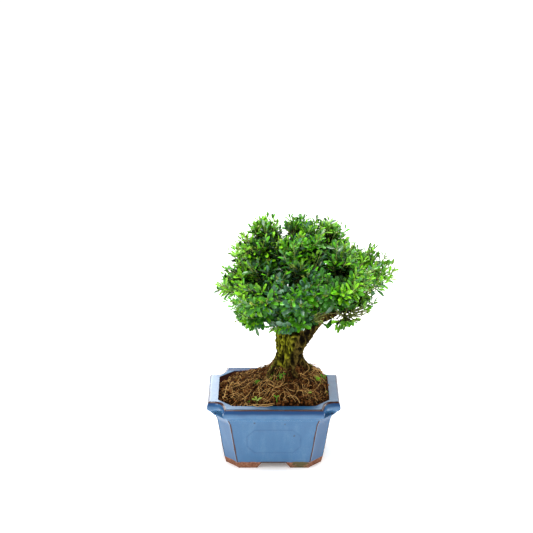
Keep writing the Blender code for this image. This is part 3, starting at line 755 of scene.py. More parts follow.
# %% Soil, crumbs and their material
SOIL_ROWS = 90
BURIED = ((0.030, 0.014), (0.062, 0.006))  # height and inset of the rings below the mound
wall_line = mouth_ring(0.0, 0.0004)
soil_rings = []
for z, inset in BURIED:
    soil_rings.append([Vector((p.x, p.y, z)) for p in mouth_ring(0.0, inset)])
for row in range(SOIL_ROWS):
    share = row / (SOIL_ROWS - 1)
    reach = 1.0 - share * 0.96
    soil_row = []
    for p in wall_line:
        x, y = FOOT.x + (p.x - FOOT.x) * reach, FOOT.y + (p.y - FOOT.y) * reach
        soil_row.append(Vector((x, y, lumpy_height(x, y))))
    soil_rings.append(soil_row)
soil_points, soil_faces = loft(soil_rings)

soil, tree, shader = new_material("peat_soil")
clumps = use_group(tree, grain, "Value", Scale=330.0, Detail=6.0, Contrast=3.4)
peat = three_tones(tree, clumps, (0.004, 0.0015, 0.0002), (0.036, 0.0115, 0.0017), (0.275, 0.105, 0.028))
chips = use_group(tree, spots, "Mask", Scale=620.0, Size=0.28, Share=0.16)
tree.links.new(mixed(tree, chips, peat, colour(0.30, 0.16, 0.055)), shader["Base Color"])
shader["Roughness"].default_value = 1.0
shader["Specular IOR Level"].default_value = 0.05
tree.links.new(bump(tree, clumps, 1.0, 0.0016), shader["Normal"])
add_piece("soil_mound", new_mesh("soil_mound", soil_points, soil_faces), [soil], ["root_ball"])

# %% Crumbs of peat
CRUMBS = 1500
CRUMB_SIZE = 0.0004
CRUMB_LARGER = 0.0019  # how much larger the largest one is
CRUMB_SHAPE = [Vector(p).normalized() for p in (
    (1, 0, 0), (-1, 0, 0), (0, 1, 0), (0, -1, 0), (0, 0, 1), (0, 0, -1),
    (1, 1, 1), (1, -1, 1), (-1, 1, 1), (-1, -1, 1), (1, 1, -1), (1, -1, -1), (-1, 1, -1), (-1, -1, -1),
)]
CRUMB_FACES = [
    (far, a, b)
    for far, around in (
        (0, (6, 10, 11, 7)), (1, (8, 9, 13, 12)), (2, (6, 8, 12, 10)),
        (3, (7, 11, 13, 9)), (4, (6, 7, 9, 8)), (5, (10, 12, 13, 11)),
    )
    for a, b in zip(around, around[1:] + around[:1])
]
rng = random.Random(11)
points, faces = [], []
while len(points) < CRUMBS * len(CRUMB_SHAPE):
    x, y = rng.uniform(-MOUTH_X, MOUTH_X), rng.uniform(-MOUTH_Y, MOUTH_Y)
    if not in_mouth(x, y, 0.0012):
        continue
    size = CRUMB_SIZE + CRUMB_LARGER * rng.random() ** 4
    centre = Vector((x, y, lumpy_height(x, y) + size * 0.3))
    turn = Matrix.Rotation(rng.uniform(0, math.tau), 3, Vector((rng.random(), rng.random(), 1)))
    start = len(points)
    for corner in CRUMB_SHAPE:
        flattened = Vector((corner.x, corner.y * 0.8, corner.z * 0.6))
        points.append(centre + turn @ flattened * size * rng.uniform(0.7, 1.2))
    faces += [tuple(start + i for i in face) for face in CRUMB_FACES]
add_piece("soil_crumbs", new_mesh("soil_crumbs", points, faces), [soil])


# %% [markdown]
# Root threads are thin tubes. Each wanders over the mound, lies on it or rises from it in one low hoop, and
# thins towards both ends. They come in three tones, from pale straw to dark brown. A few straws and loose
# roots are placed one by one, where they catch the light.

# %% Tubes
def tapered(line, start, end):
    """A radius for each point of a line, falling evenly with its length."""
    lengths = [0.0]
    for a, b in zip(line, line[1:]):
        lengths.append(lengths[-1] + (b - a).length)
    return [start + (end - start) * done / lengths[-1] for done in lengths]


def add_tube(points, faces, line, radii, sides):
    """Adds a tube along a line to lists of points and faces, with closed ends."""
    start = len(points)
    side = (line[1] - line[0]).orthogonal().normalized()
    for i, (centre, radius) in enumerate(zip(line, radii)):
        forward = (line[min(i + 1, len(line) - 1)] - line[max(i - 1, 0)]).normalized()
        side = (side - forward * side.dot(forward)).normalized()
        across = forward.cross(side)
        for k in range(sides):
            angle = math.tau * k / sides
            points.append(centre + (side * math.cos(angle) + across * math.sin(angle)) * radius)
    for i in range(len(line) - 1):
        for k in range(sides):
            a, b = start + i * sides + k, start + i * sides + (k + 1) % sides
            faces.append((a, b, b + sides, a + sides))
    faces.append(tuple(start + k for k in reversed(range(sides))))
    last = start + (len(line) - 1) * sides
    faces.append(tuple(last + k for k in range(sides)))


# %% Root threads
THREADS = 1150
THREAD_SIDES = 4
THREAD_RADIUS = 0.00010
THREAD_THICKER = 0.00026  # how much thicker the thickest one is
THREAD_SPREAD = 0.075  # from the trunk
THREAD_LENGTH = 0.004
THREAD_LONGER = 0.024  # how much longer the longest one is
THREAD_HOOPS = (0.0, 0.0004, 0.0010, 0.0030)
THREAD_TURN = 0.30
THREAD_WANDER = 0.22
FREE_SHARE = 0.14  # of the threads have one end that stands off the soil
FREE_RISE = 0.0065
STRAW_RADII = (0.00036, 0.00024)
LOOSE_RADII = (0.00028, 0.00012)


def thread_line(rng):
    """A root thread that wanders over the mound, or None where it would leave the pot."""
    angle, distance = rng.uniform(0, math.tau), THREAD_SPREAD * math.sqrt(rng.random())
    x, y = FOOT.x + distance * math.cos(angle), FOOT.y + distance * math.sin(angle)
    heading = rng.uniform(0, math.tau)
    length = THREAD_LENGTH + THREAD_LONGER * rng.random() ** 2.2
    hoop = rng.choice(THREAD_HOOPS)
    turn = rng.uniform(-THREAD_TURN, THREAD_TURN)
    steps = 5 + int(length / 0.003)
    free = FREE_RISE * rng.random() if rng.random() < FREE_SHARE else 0.0
    line = []
    for i in range(steps + 1):
        if not in_mouth(x, y, 0.0006):
            return None
        rise = hoop * math.sin(math.pi * i / steps) + free * (i / steps) ** 1.5
        line.append(Vector((x, y, lumpy_height(x, y) + 0.0002 + rise)))
        heading += turn + rng.uniform(-THREAD_WANDER, THREAD_WANDER)
        x += math.cos(heading) * length / steps
        y += math.sin(heading) * length / steps
    return line


def over_soil(ends, rise):
    """A smooth line over the mound through places given as x and y."""
    places = smooth_line([(x, y, 0) for x, y in ends], 5)
    return [Vector((p.x, p.y, lumpy_height(p.x, p.y) + rise)) for p in places]


STRAWS = (  # dry straws that lie on the soil
    ((-0.0321, -0.0409), (-0.0180, -0.0485), (-0.0009, -0.0500)),
    ((-0.0270, -0.0440), (-0.0130, -0.0470), (0.0010, -0.0490)),
    ((-0.0233, -0.0308), (-0.0215, -0.0260), (-0.0120, -0.0284)),
    ((-0.0560, -0.0163), (-0.0530, 0.0150), (-0.0515, 0.0400)),
    ((0.0136, -0.0412), (0.0230, -0.0400), (0.0291, -0.0461)),
    ((0.0380, -0.0300), (0.0480, -0.0230), (0.0520, -0.0130)),
    ((-0.0060, -0.0200), (0.0040, -0.0290), (0.0160, -0.0250)),
)
LOOSE = (  # fine roots that stand off the mound, beside the trunk and at its right edge
    ((-0.0080, 0.0150, 0.1000), (-0.0120, 0.0150, 0.1060), (-0.0150, 0.0150, 0.1130)),
    ((-0.0050, 0.0120, 0.1010), (-0.0090, 0.0120, 0.1070), (-0.0105, 0.0120, 0.1110)),
    ((0.0400, -0.0080, 0.0990), (0.0460, -0.0080, 0.1050), (0.0440, -0.0080, 0.1110)),
    ((0.0400, 0.0000, 0.0990), (0.0500, 0.0000, 0.1030), (0.0570, 0.0000, 0.1000)),
    ((0.0440, 0.0040, 0.0960), (0.0540, 0.0040, 0.0990), (0.0600, 0.0040, 0.0930)),
    ((0.0330, -0.0120, 0.1020), (0.0400, -0.0120, 0.1090), (0.0370, -0.0120, 0.1160)),
)

rng = random.Random(23)
points, faces = [], []
for ends in STRAWS:
    line = over_soil(ends, 0.0008)
    add_tube(points, faces, line, tapered(line, *STRAW_RADII), THREAD_SIDES + 1)
for ends in LOOSE:
    line = smooth_line(ends, 5)
    add_tube(points, faces, line, tapered(line, *LOOSE_RADII), THREAD_SIDES)
kinds = [0] * len(faces)
made = 0
while made < THREADS:
    line = thread_line(rng)
    if line is None:
        continue
    thick = THREAD_RADIUS + THREAD_THICKER * rng.random() ** 2.5
    swells = [math.sin(math.pi * (i + 0.5) / len(line)) for i in range(len(line))]
    radii = [thick * (0.45 + 0.55 * swell) for swell in swells]
    add_tube(points, faces, line, radii, THREAD_SIDES)
    kinds += [rng.choice((0, 0, 1, 2, 2))] * (len(faces) - len(kinds))
    made += 1
thread_materials = []
for name, tone in (
    ("thread_straw", (0.92, 0.56, 0.20)),
    ("thread_tan", (0.25, 0.098, 0.022)),
    ("thread_brown", (0.060, 0.020, 0.005)),
):
    material, tree, shader = new_material(name)
    mottle = use_group(tree, grain, "Value", Scale=700.0, Detail=2.0, Contrast=1.6)
    tree.links.new(shades(tree, mottle, tone, 0.55, 1.3), shader["Base Color"])
    shader["Roughness"].default_value = 0.85
    shader["Specular IOR Level"].default_value = 0.15
    thread_materials.append(material)
add_piece("root_threads", new_mesh("root_threads", points, faces, kinds), thread_materials)

# %% [markdown]
# ## The plan of the tree
# The same named sizes as in the frame: sections of the trunk, the points that each limb passes
# through, and the middle and reach of each mass of foliage.

# %% Trunk, limbs and masses
TRUNK = (  # height, middle in x and y, half width in x and y
    (0.0900, 0.0175, 0.0060, 0.0260, 0.0240),
    (0.0980, 0.0175, 0.0060, 0.0232, 0.0215),
    (0.1033, 0.0175, 0.0060, 0.0210, 0.0196),
    (0.1070, 0.0175, 0.0060, 0.0188, 0.0176),
    (0.1120, 0.0173, 0.0058, 0.0164, 0.0156),
    (0.1190, 0.0170, 0.0055, 0.0145, 0.0140),
    (0.1270, 0.0182, 0.0050, 0.0146, 0.0134),
    (0.1340, 0.0208, 0.0048, 0.0166, 0.0136),
    (0.1410, 0.0212, 0.0045, 0.0172, 0.0136),
    (0.1470, 0.0222, 0.0045, 0.0172, 0.0128),
)
ROOT_LOBES = 5
ROOT_LOBE_SIZE = 0.14
LIMBS = {  # inside the trunk and where the limb leaves it, then its bends, then its radii at both ends
    "limb_left": (
        ((0.0140, 0.0040, 0.1360), (0.0132, 0.0040, 0.1520)),
        ((0.0100, 0.0055, 0.1750), (0.0060, 0.0050, 0.2060), (0.0030, 0.0040, 0.2200)),
        (0.0102, 0.0048),
    ),
    "limb_right": (
        ((0.0255, 0.0030, 0.1325), (0.0368, 0.0021, 0.1496)),
        ((0.0510, 0.0000, 0.1670), (0.0700, -0.0018, 0.1850), (0.0800, -0.0020, 0.1990)),
        (0.0092, 0.0042),
    ),
    "limb_back": (
        ((0.0225, 0.0080, 0.1350), (0.0238, 0.0212, 0.1456)),
        ((0.0270, 0.0375, 0.1620), (0.0300, 0.0430, 0.1750), (0.0325, 0.0460, 0.1900)),
        (0.0062, 0.0040),
    ),
}
STRAIGHT = 0.0065  # a limb runs on this far before its first bend
BOUGH_SHARE = 0.60  # of the way from its limb to the middle of its mass
BOUGH_SAG = 0.10
BOUGH_RADII = (0.0044, 0.0027)
MASSES = {  # limb, share of its length, middle, and reach along x, y and z
    "top_left": ("limb_left", 1.0, (-0.0155, -0.0020, 0.2520), (0.0305, 0.0380, 0.0270)),
    "top": ("limb_left", 0.75, (0.0265, 0.0000, 0.2550), (0.0300, 0.0420, 0.0270)),
    "left": ("limb_left", 0.47, (-0.0330, 0.0000, 0.2165), (0.0270, 0.0400, 0.0260)),
    "low_left": ("limb_left", 0.20, (-0.0190, -0.0070, 0.1810), (0.0290, 0.0340, 0.0220)),
    "front_left": ("limb_left", 0.38, (-0.0140, -0.0400, 0.2155), (0.0320, 0.0320, 0.0300)),
    "low_front": ("limb_left", 0.10, (0.0290, -0.0280, 0.1810), (0.0320, 0.0300, 0.0180)),
    "back_left": ("limb_left", 0.56, (-0.0075, 0.0420, 0.2140), (0.0320, 0.0320, 0.0310)),
    "right": ("limb_right", 1.0, (0.1020, 0.0020, 0.2170), (0.0280, 0.0380, 0.0290)),
    "top_right": ("limb_right", 0.42, (0.0630, 0.0000, 0.2515), (0.0250, 0.0380, 0.0275)),
    "front": ("limb_right", 0.14, (0.0270, -0.0460, 0.2200), (0.0340, 0.0300, 0.0330)),
    "front_right": ("limb_right", 0.52, (0.0705, -0.0380, 0.2230), (0.0320, 0.0320, 0.0290)),
    "low_right": ("limb_right", 0.28, (0.0840, -0.0080, 0.1800), (0.0320, 0.0340, 0.0230)),
    "back_right": ("limb_right", 0.65, (0.0790, 0.0400, 0.2160), (0.0320, 0.0320, 0.0280)),
    "back": ("limb_back", 1.0, (0.0335, 0.0470, 0.2155), (0.0330, 0.0300, 0.0330)),
    "low_back": ("limb_back", 0.38, (0.0590, 0.0400, 0.1815), (0.0330, 0.0320, 0.0200)),
}
print(len(LIMBS), "limbs carry", len(MASSES), "masses")


# %% Lines of the limbs and boughs
def point_along(line, share):
    """The point at this share of a line's length."""
    left = share * sum((b - a).length for a, b in zip(line, line[1:]))
    for a, b in zip(line, line[1:]):
        if left <= (b - a).length:
            break
        left -= (b - a).length
    return a + (b - a).normalized() * left


def limb_line(name):
    """A limb from the point where it leaves the trunk, with its radii."""
    (inside, cut), bends, (start, end) = LIMBS[name]
    inside, cut = Vector(inside), Vector(cut)
    forward = (cut - inside).normalized()
    line = [cut, *smooth_line([cut + forward * STRAIGHT, *bends], 6)]
    return line, tapered(line, start, end)


def bough_line(mass):
    """A bough from inside its limb, out and then up, to where it enters its mass."""
    limb, share, middle, _ = MASSES[mass]
    start = point_along(limb_line(limb)[0], share)
    tip = start.lerp(Vector(middle), BOUGH_SHARE)
    sag = Vector((0, 0, BOUGH_SAG * (tip - start).length))
    line = smooth_line([start, start.lerp(tip, 0.5) - sag, tip], 5)
    return line, tapered(line, *BOUGH_RADII)


WOOD = {name: limb_line(name) for name in LIMBS}
CARRIERS = {}
for mass, (limb, share, _, _) in MASSES.items():
    CARRIERS[mass] = limb if share == 1.0 else "bough_" + mass
    if share < 1.0:
        WOOD[CARRIERS[mass]] = bough_line(mass)
print("wood:", ", ".join(WOOD))

# %% [markdown]
# ## Trunk and limbs
# An old box stem is fluted, flares into its roots, and has bark in soft upright plates with dark cracks
# between them. Here the trunk, limbs and boughs are drawn as overlapping tubes, and a voxel Remesh makes
# them one skin with no seams at the forks. Then every point is moved along its normal by a ridged pattern
# that is stretched upwards, so that the cracks are real hollows in the mesh. The mesh also keeps that
# pattern, and the colour follows it: lighter on the plates and near black in the cracks, partly the bark's
# own colours and partly painted light and shade. Moss grows on the left and front of the trunk, above its
# foot, and the mesh stores how much.

# %% Join the wood into one skin
VOXEL = 0.00065
TRUNK_SIDES = 72
WOOD_SIDES = 16
TWIST = 60  # how fast the trunk's three broad flutes turn with height

trunk_rows = smooth_line([(z, x, y) for z, x, y, _, _ in TRUNK], 4)
trunk_widths = smooth_line([(z, a, b) for z, _, _, a, b in TRUNK], 4)
rings = []
for (z, x, y), (_, half_x, half_y) in zip(trunk_rows, trunk_widths):
    lobe = ROOT_LOBE_SIZE * max(0.0, 1 - (z - GROUND) / 0.020)
    row = []
    for i in range(TRUNK_SIDES):
        angle = math.tau * i / TRUNK_SIDES
        flute = 1 + lobe * math.cos(ROOT_LOBES * angle + 0.6) + 0.05 * math.cos(3 * angle + z * TWIST)
        across, deep = half_x * flute * math.cos(angle), half_y * flute * math.sin(angle)
        row.append(Vector((x + across, y + deep, z)))
    rings.append(row)
points, faces = loft(rings)
for name, (line, radii) in WOOD.items():
    if name in LIMBS:
        inside = Vector(LIMBS[name][0][0])
        line, radii = [inside, *line], [radii[0] * 1.06, *radii]
    add_tube(points, faces, line, radii, WOOD_SIDES)
joined = bpy.data.objects.new("joined_wood", new_mesh("joined_wood", points, faces))
bpy.context.scene.collection.objects.link(joined)
remesh = joined.modifiers.new("one_skin", "REMESH")
remesh.mode = "VOXEL"
remesh.voxel_size = VOXEL
smoother = joined.modifiers.new("soften", "SMOOTH")
smoother.iterations = 2
graph = bpy.context.evaluated_depsgraph_get()
wood_mesh = bpy.data.meshes.new_from_object(joined.evaluated_get(graph))
bpy.data.objects.remove(joined, do_unlink=True)
print("wood has", len(wood_mesh.vertices), "points")


# %% Raise the bark
BARK_DEPTH = 0.0021
MOSS_SIDE = Vector((-0.75, -0.60, 0.0)).normalized()


def bark_relief(p):
    """From about -1 in a crack to 1 on a plate: upright strands, broken across by cross cracks."""
    twist = Vector((p.x + 0.12 * (p.z - 0.12), p.y, p.z * 0.30))
    strands = 1 - 3.4 * abs(noise.noise(twist * 210))
    strands += 0.6 * (1 - 2.6 * abs(noise.noise(twist * 520 + Vector((7, 3, 1)))))
    plates = noise.noise(Vector((p.x, p.y, p.z * 1.1)) * 330)
    return max(-1.0, min(1.0, 0.75 * strands + 0.55 * plates - 0.25))


relief_values, moss_values = [], []
moved = []
for v in wood_mesh.vertices:
    thick = 1 - 0.72 * soft_step(0.142, 0.162, v.co.z)
    relief = bark_relief(v.co)
    moved.append(v.co + v.normal * relief * BARK_DEPTH * thick)
    facing = v.normal.dot(MOSS_SIDE)
    left = 1 - 0.9 * soft_step(0.014, 0.022, v.co.x - 0.25 * (v.co.z - 0.12))
    moss = left * soft_step(-0.6, 0.3, facing) * (1 - soft_step(0.155, 0.185, v.co.z))
    moss *= soft_step(0.106, 0.120, v.co.z + 0.010 * noise.noise(v.co * 90))
    moss_values.append(moss * (0.85 + 0.8 * noise.noise(v.co * 120)))
    relief_values.append(0.5 + 0.5 * relief)
for v, place in zip(wood_mesh.vertices, moved):
    v.co = place
add_values(wood_mesh, "relief", relief_values)
add_values(wood_mesh, "moss", [max(0.0, min(1.0, m)) for m in moss_values])

bark, tree, shader = new_material("mossy_bark")
scale_grain = use_group(tree, grain, "Value", Scale=520.0, Stretch=3.0, Detail=5.0, Contrast=2.0)
# the colour follows the relief: plates lighter and cracks near black, partly the bark's own colours and
# partly painted light and shade
rough_relief = maths(tree, "MULTIPLY_ADD", scale_grain, 0.55, stored(tree, "relief"))
plates = ramped(tree, rough_relief, 0.48, 1.22)
brown_bark_and_painted_relief_shade = three_tones(tree, plates, (0.004, 0.002, 0.0002), (0.030, 0.018, 0.003), (0.140, 0.095, 0.022))
mossy_bark_and_painted_relief_shade = three_tones(tree, plates, (0.008, 0.006, 0.0002), (0.082, 0.083, 0.0025), (0.350, 0.355, 0.018))
tree.links.new(mixed(tree, stored(tree, "moss"), brown_bark_and_painted_relief_shade, mossy_bark_and_painted_relief_shade), shader["Base Color"])
shader["Roughness"].default_value = 0.95
shader["Specular IOR Level"].default_value = 0.1
tree.links.new(bump(tree, scale_grain, 0.8, 0.0010), shader["Normal"])
wood_mesh.shade_smooth()
add_piece("bark_wood", wood_mesh, [bark], ["trunk", *WOOD])

# %% [markdown]
# ## Foliage
# Box leaves stand in opposite pairs, each pair turned a right angle from the last, on thin shoots
# that all reach for the light. Each mass grows by the frame's own rule: a stem runs on from its
# bough, twigs leave it by the golden angle and run to the edge of the mass's space, and shoots
# leave the twigs. Only the shoots carry leaves, so the inside of the crown stays open and dark.

# %% Spaces of the masses
CROWN_HEART = Vector((0.0300, 0.0000, 0.1900))
SEED = 6
GOLDEN_ANGLE = math.pi * (3 - math.sqrt(5))
SPACE_MARGIN = 0.0002  # from the border between two masses
CROWN_MARGIN = 0.0020  # past the reach of a mass
SPRAY_MARGINS = {  # shift along x, then how far sprays may stand past a mass's reach: level, upright
    "top_left": (0.0025, 0.0160, 0.0000),
    "top": (0.0, 0.0030, -0.0015),
    "top_right": (-0.0060, 0.0010, -0.0015),
    "left": (0.0, 0.0100, 0.0065),
    "right": (0.0, 0.0040, -0.0015),
    "back_right": (0.0, -0.0040, -0.0070),
    "low_right": (0.0, 0.0010, 0.0020),
    "low_left": (0.0, 0.0020, 0.0070),
    "low_front": (0.0, 0.0030, 0.0090),
    "front": (0.0, -0.0030, 0.0040),
    "back": (0.0, 0.0000, 0.0040),
}
USUAL_MARGIN = (0.0, 0.0040, 0.0040)
SPRAY_BLEND = 4.2  # the higher, the less the sprays of two masses fill the gap between them
FRONT_LIMIT = -0.0790  # the foremost leaf tips
UNDERSIDE = (  # lowest leaves of the crown, as x and height, for y = 0
    (-0.060, 0.190), (-0.038, 0.159), (-0.017, 0.142), (-0.002, 0.142), (0.006, 0.150), (0.020, 0.153),
    (0.030, 0.156), (0.044, 0.162), (0.056, 0.160), (0.064, 0.150), (0.074, 0.150), (0.090, 0.160),
    (0.110, 0.180), (0.130, 0.200),
)
UNDERSIDE_RISE = 0.32  # of that line for each metre to the front or back
SPACES = {
    name: (Vector(middle), Vector(reach), (sum(reach) / 3) ** 2)
    for name, (_, _, middle, reach) in MASSES.items()
}


def above_underside(point):
    """Whether a point is higher than the lowest leaves there."""
    for (a, low), (b, high) in zip(UNDERSIDE, UNDERSIDE[1:]):
        if point.x <= b:
            break
    share = min(1.0, max(0.0, (point.x - a) / (b - a)))
    return point.z > low + (high - low) * share + UNDERSIDE_RISE * abs(point.y)


def in_own_space(point, name):
    """Whether a point is nearer to this mass's middle than to any other's, by the masses' own reach."""
    own_middle, _, own_square = SPACES[name]
    own = (point - own_middle).length_squared - own_square
    for other, (middle, _, square) in SPACES.items():
        if other == name:
            continue
        beyond = (point - middle).length_squared - square
        if beyond - own < 2 * (middle - own_middle).length * SPACE_MARGIN:
            return False
    return True


def beyond_mass(point, name, level, upright, shift=0.0):
    """1 at the edge of a mass's reach with these margins, less inside it."""
    middle, reach, _ = SPACES[name]
    x, y, z = point - middle
    a, b, c = reach
    return ((x - shift) / (a + level)) ** 2 + (y / (b + level)) ** 2 + (z / (c + upright)) ** 2


def in_crown(point):
    """Whether a point is within the reach of any mass."""
    return any(beyond_mass(point, name, CROWN_MARGIN, CROWN_MARGIN) <= 1.0 for name in SPACES)


def in_sprays(point, extra):
    """Whether sprays reach this point. Where two masses are near, their sprays fill the gap."""
    if point.y < FRONT_LIMIT:
        return False
    filled = 0.0
    for name in SPACES:
        shift, level, upright = SPRAY_MARGINS.get(name, USUAL_MARGIN)
        beyond = beyond_mass(point, name, level + extra, upright + extra, shift)
        filled += math.exp(SPRAY_BLEND * (1.0 - beyond)) if beyond < 2.5 else 0.0
    return filled >= 1.0


WINDOW_LINE = (Vector((0.048, -0.020, 0.1755)), Vector((0.096, -0.020, 0.1800)))
WINDOW_RADIUS = 0.0065
WINDOW_SLOPE = 0.37  # the opening rises by this much for each metre towards the front
WINDOW_FRONT, WINDOW_BACK = -0.070, 0.004


def in_window(point):
    """Whether a leaf here would hide the bare stretch of the low bough, which shows under the crown."""
    if point.y > WINDOW_BACK or point.y < WINDOW_FRONT:
        return False
    start, end = WINDOW_LINE
    along = end - start
    level = Vector((point.x, start.y, point.z + WINDOW_SLOPE * (point.y - start.y)))
    share = max(0.0, min(1.0, (level - start).dot(along) / along.length_squared))
    return (level - (start + along * share)).length < WINDOW_RADIUS


TRUNK_TOP = 0.150
TRUNK_MIDDLE = Vector((0.0195, 0.0048, 0.0))
TRUNK_CLEARANCE = 0.022


def clear_of_wood(point, radius):
    """Whether a ball of this radius here touches no limb, bough or trunk."""
    for line, radii in WOOD.values():
        for a, b, thick in zip(line[::3], line[3::3], radii[::3]):
            along = b - a
            share = max(0.0, min(1.0, (point - a).dot(along) / along.length_squared))
            if (point - (a + along * share)).length < thick + radius:
                return False
    level_middle = Vector((TRUNK_MIDDLE.x, TRUNK_MIDDLE.y, point.z))
    return point.z > TRUNK_TOP or (point - level_middle).length > TRUNK_CLEARANCE


ROOM_STEP = 0.001
TWIG_LIMIT = -0.006  # where sprays reach past a mass, its twigs may run on to this far from their edge


def room(start, direction, name):
    """How far a line from start can run before it leaves the space of its mass."""
    length = 0.0
    while True:
        point = start + direction * (length + ROOM_STEP)
        if not (in_own_space(point, name) and (in_crown(point) or in_sprays(point, TWIG_LIMIT))):
            return length
        length += ROOM_STEP


print("spaces:", len(SPACES))


# %% [markdown]
# A leaf is a small spoon: narrow at the root, widest past its middle, blunt or slightly notched at
# the tip, folded along the midrib and bent back a little. Sixteen points and ten faces are enough.
# Each point also stores how dim it is, because the root and the midrib of a leaf lie in shade.

# %% One leaf
LEAF_STATIONS = ((0.16, 0.28), (0.40, 0.70), (0.66, 1.00), (0.87, 0.82))  # shares of length, half width
LEAF_TIP = (0.985, 0.42)  # the two corners of the tip
LEAF_NOTCH = 0.975  # the middle of the tip
LEAF_FOLD = 0.28  # rise of the edges over the half width
LEAF_BEND = 0.10
ROOT_DIM = 0.50
MIDRIB_DIM = 0.16


def leaf_outline():
    """The leaf's points in its own frame: along, across, up, each as a share."""
    points = [(0.0, 0.0, 0.0)]
    for along, wide in (*LEAF_STATIONS, LEAF_TIP):
        middle = min(along, LEAF_NOTCH)
        points += [(along, wide, LEAF_FOLD * wide), (middle, 0.0, 0.0), (along, -wide, LEAF_FOLD * wide)]
    return points


LEAF_POINTS = leaf_outline()
LEAF_DIM = [
    ROOT_DIM * (1 - along) ** 1.5 + MIDRIB_DIM * (1 - abs(across)) for along, across, _ in LEAF_POINTS
]
LEAF_FACES = [(0, 2, 1), (0, 3, 2)]
for row in range(1, 3 * len(LEAF_STATIONS), 3):
    LEAF_FACES += [(row, row + 1, row + 4, row + 3), (row + 1, row + 2, row + 5, row + 4)]


def add_leaf(points, faces, root, direction, upper, length, width):
    """Adds one leaf with its upper side turned towards the given direction."""
    side = upper.cross(direction)
    if side.length < 1e-4:
        side = direction.orthogonal()
    side.normalize()
    normal = direction.cross(side)
    start = len(points)
    for along, across, up in LEAF_POINTS:
        rise = up * width / 2 - LEAF_BEND * length * along * along
        points.append(root + direction * (along * length) + side * (across * width / 2) + normal * rise)
    faces.extend(tuple(start + i for i in face) for face in LEAF_FACES)


print("a leaf has", len(LEAF_POINTS), "points and", len(LEAF_FACES), "faces")

# %% Grow twigs and shoots
TWIGS = 25
INWARD_LIMIT = -0.45  # twigs that turn further back than this towards the crown's heart are left out
TIP_INSET = 0.0130
SHORTEST_TWIG = 0.004
TWIG_TRIES = 600
GOLDEN_SHARE = 0.618034
SHOOTS = 8
SHOOT_LENGTH = (0.012, 0.028)
SHORTEST_SHOOT = 0.007
TIP_EXTRA = (-0.006, 0.0025)  # how far the last shoot of a twig may end past the sprays
SIDE_EXTRA = (-0.015, -0.005)  # the same for its other shoots
TIP_LEAN = (4, 14)  # degrees between the last shoot and its twig
SIDE_LEAN = (32, 58)
REACH_OUT = 0.35  # how strongly shoots turn away from the crown's heart
REACH_UP = 0.55
PAIR_STEP = 0.0046
LEAF_LENGTH = (0.0104, 0.0158)
YOUNG_SHRINK = 0.24  # of the length, where every spray is young
YOUNG_LEAST = 0.05
YOUNG_AT_SIDES = 0.55
YOUNG_AT_TOP = 0.34
AIRY_EDGE = 0.75  # share of the shoots left out, where every spray is young
AIRY_RIGHT = 0.25  # share left out as well at the right end of the crown
INNER_LEAVES = -0.0165  # leaves this far inside the sprays are shaded ones


def young_share(tip):
    """How likely a spray here is young: more at the sides and the top of the crown."""
    side = soft_step(0.034, 0.076, abs(tip.x - CROWN_HEART.x))
    return YOUNG_LEAST + YOUNG_AT_SIDES * side + YOUNG_AT_TOP * soft_step(0.232, 0.272, tip.z)


def twig_lines(name, base, hub, rng):
    """The twigs of a mass: they leave its stem one after another and spread to its edges."""
    outward = (SPACES[name][0] - CROWN_HEART).normalized()
    found = []
    for i in range(TWIG_TRIES):
        height = 1 - 2 * ((i * GOLDEN_SHARE + 0.37) % 1.0)
        angle = GOLDEN_ANGLE * i + rng.uniform(-0.3, 0.3)
        flat = math.sqrt(1 - height * height)
        way = Vector((flat * math.cos(angle), flat * math.sin(angle), height))
        if way.dot(outward) < INWARD_LIMIT:
            continue
        start = base.lerp(hub, rng.uniform(0.45, 1.0))
        length = room(start, way, name) - TIP_INSET
        if length > SHORTEST_TWIG:
            sag = Vector((0, 0, 0.10 * length))
            found.append(smooth_line([start, start + way * length * 0.5 - sag, start + way * length], 3))
        if len(found) == TWIGS:
            break
    return found


def shoot_line(twig, number, rng):
    """One shoot of a twig, or None. The last one carries straight on from the twig's tip."""
    last = number == SHOOTS - 1
    share = 0.97 if last else 0.30 + 0.62 * (number + rng.random() * 0.6) / SHOOTS
    root = point_along(twig, share)
    axis = (twig[-1] - twig[-2]).normalized()
    around = Matrix.Rotation(number * GOLDEN_ANGLE + rng.uniform(-0.4, 0.4), 3, axis)
    outward = around @ axis.orthogonal().normalized()
    lean = math.radians(rng.uniform(*(TIP_LEAN if last else SIDE_LEAN)))
    way = axis * math.cos(lean) + outward * math.sin(lean)
    away = (root - CROWN_HEART).normalized()
    way = (way + away * REACH_OUT + Vector((0, 0, REACH_UP))).normalized()
    length = rng.uniform(*SHOOT_LENGTH) * (1.2 if last else 1.0)
    extra = rng.uniform(*(TIP_EXTRA if last else SIDE_EXTRA))
    while length > SHORTEST_SHOOT and not in_sprays(root + way * length, extra):
        length -= 0.002
    airy = AIRY_EDGE * young_share(root) * (1 - 0.6 * soft_step(0.235, 0.255, root.z))
    airy += AIRY_RIGHT * soft_step(0.070, 0.100, root.x)
    if length <= SHORTEST_SHOOT or (not last and rng.random() < airy):
        return None
    bend = (away * 0.5 + Vector((0, 0, 0.5))) * length * 0.12
    return smooth_line([root, root + way * length * 0.55, root + way * length + bend], 2)


print("at most", TWIGS, "twigs in each mass, with", SHOOTS, "shoots each")


# %% [markdown]
# Colour has a place in the crown: young leaves at the sides and tips are a bright yellow green, and old
# leaves in the middle are a dark, slightly blue green with a waxy shine. Part of that blue is a painted
# sheen, a reflection of the bright surround put into the colour itself. Each spray gets one of the plain
# leaf colours by a rule of its place and a seeded draw. Leaves deep inside the crown get the sixth, shaded
# one, and the dim values of the leaves' points darken every colour. Every colour has a paler underside,
# partly as box leaves have and partly as painted light that shines through the leaf.

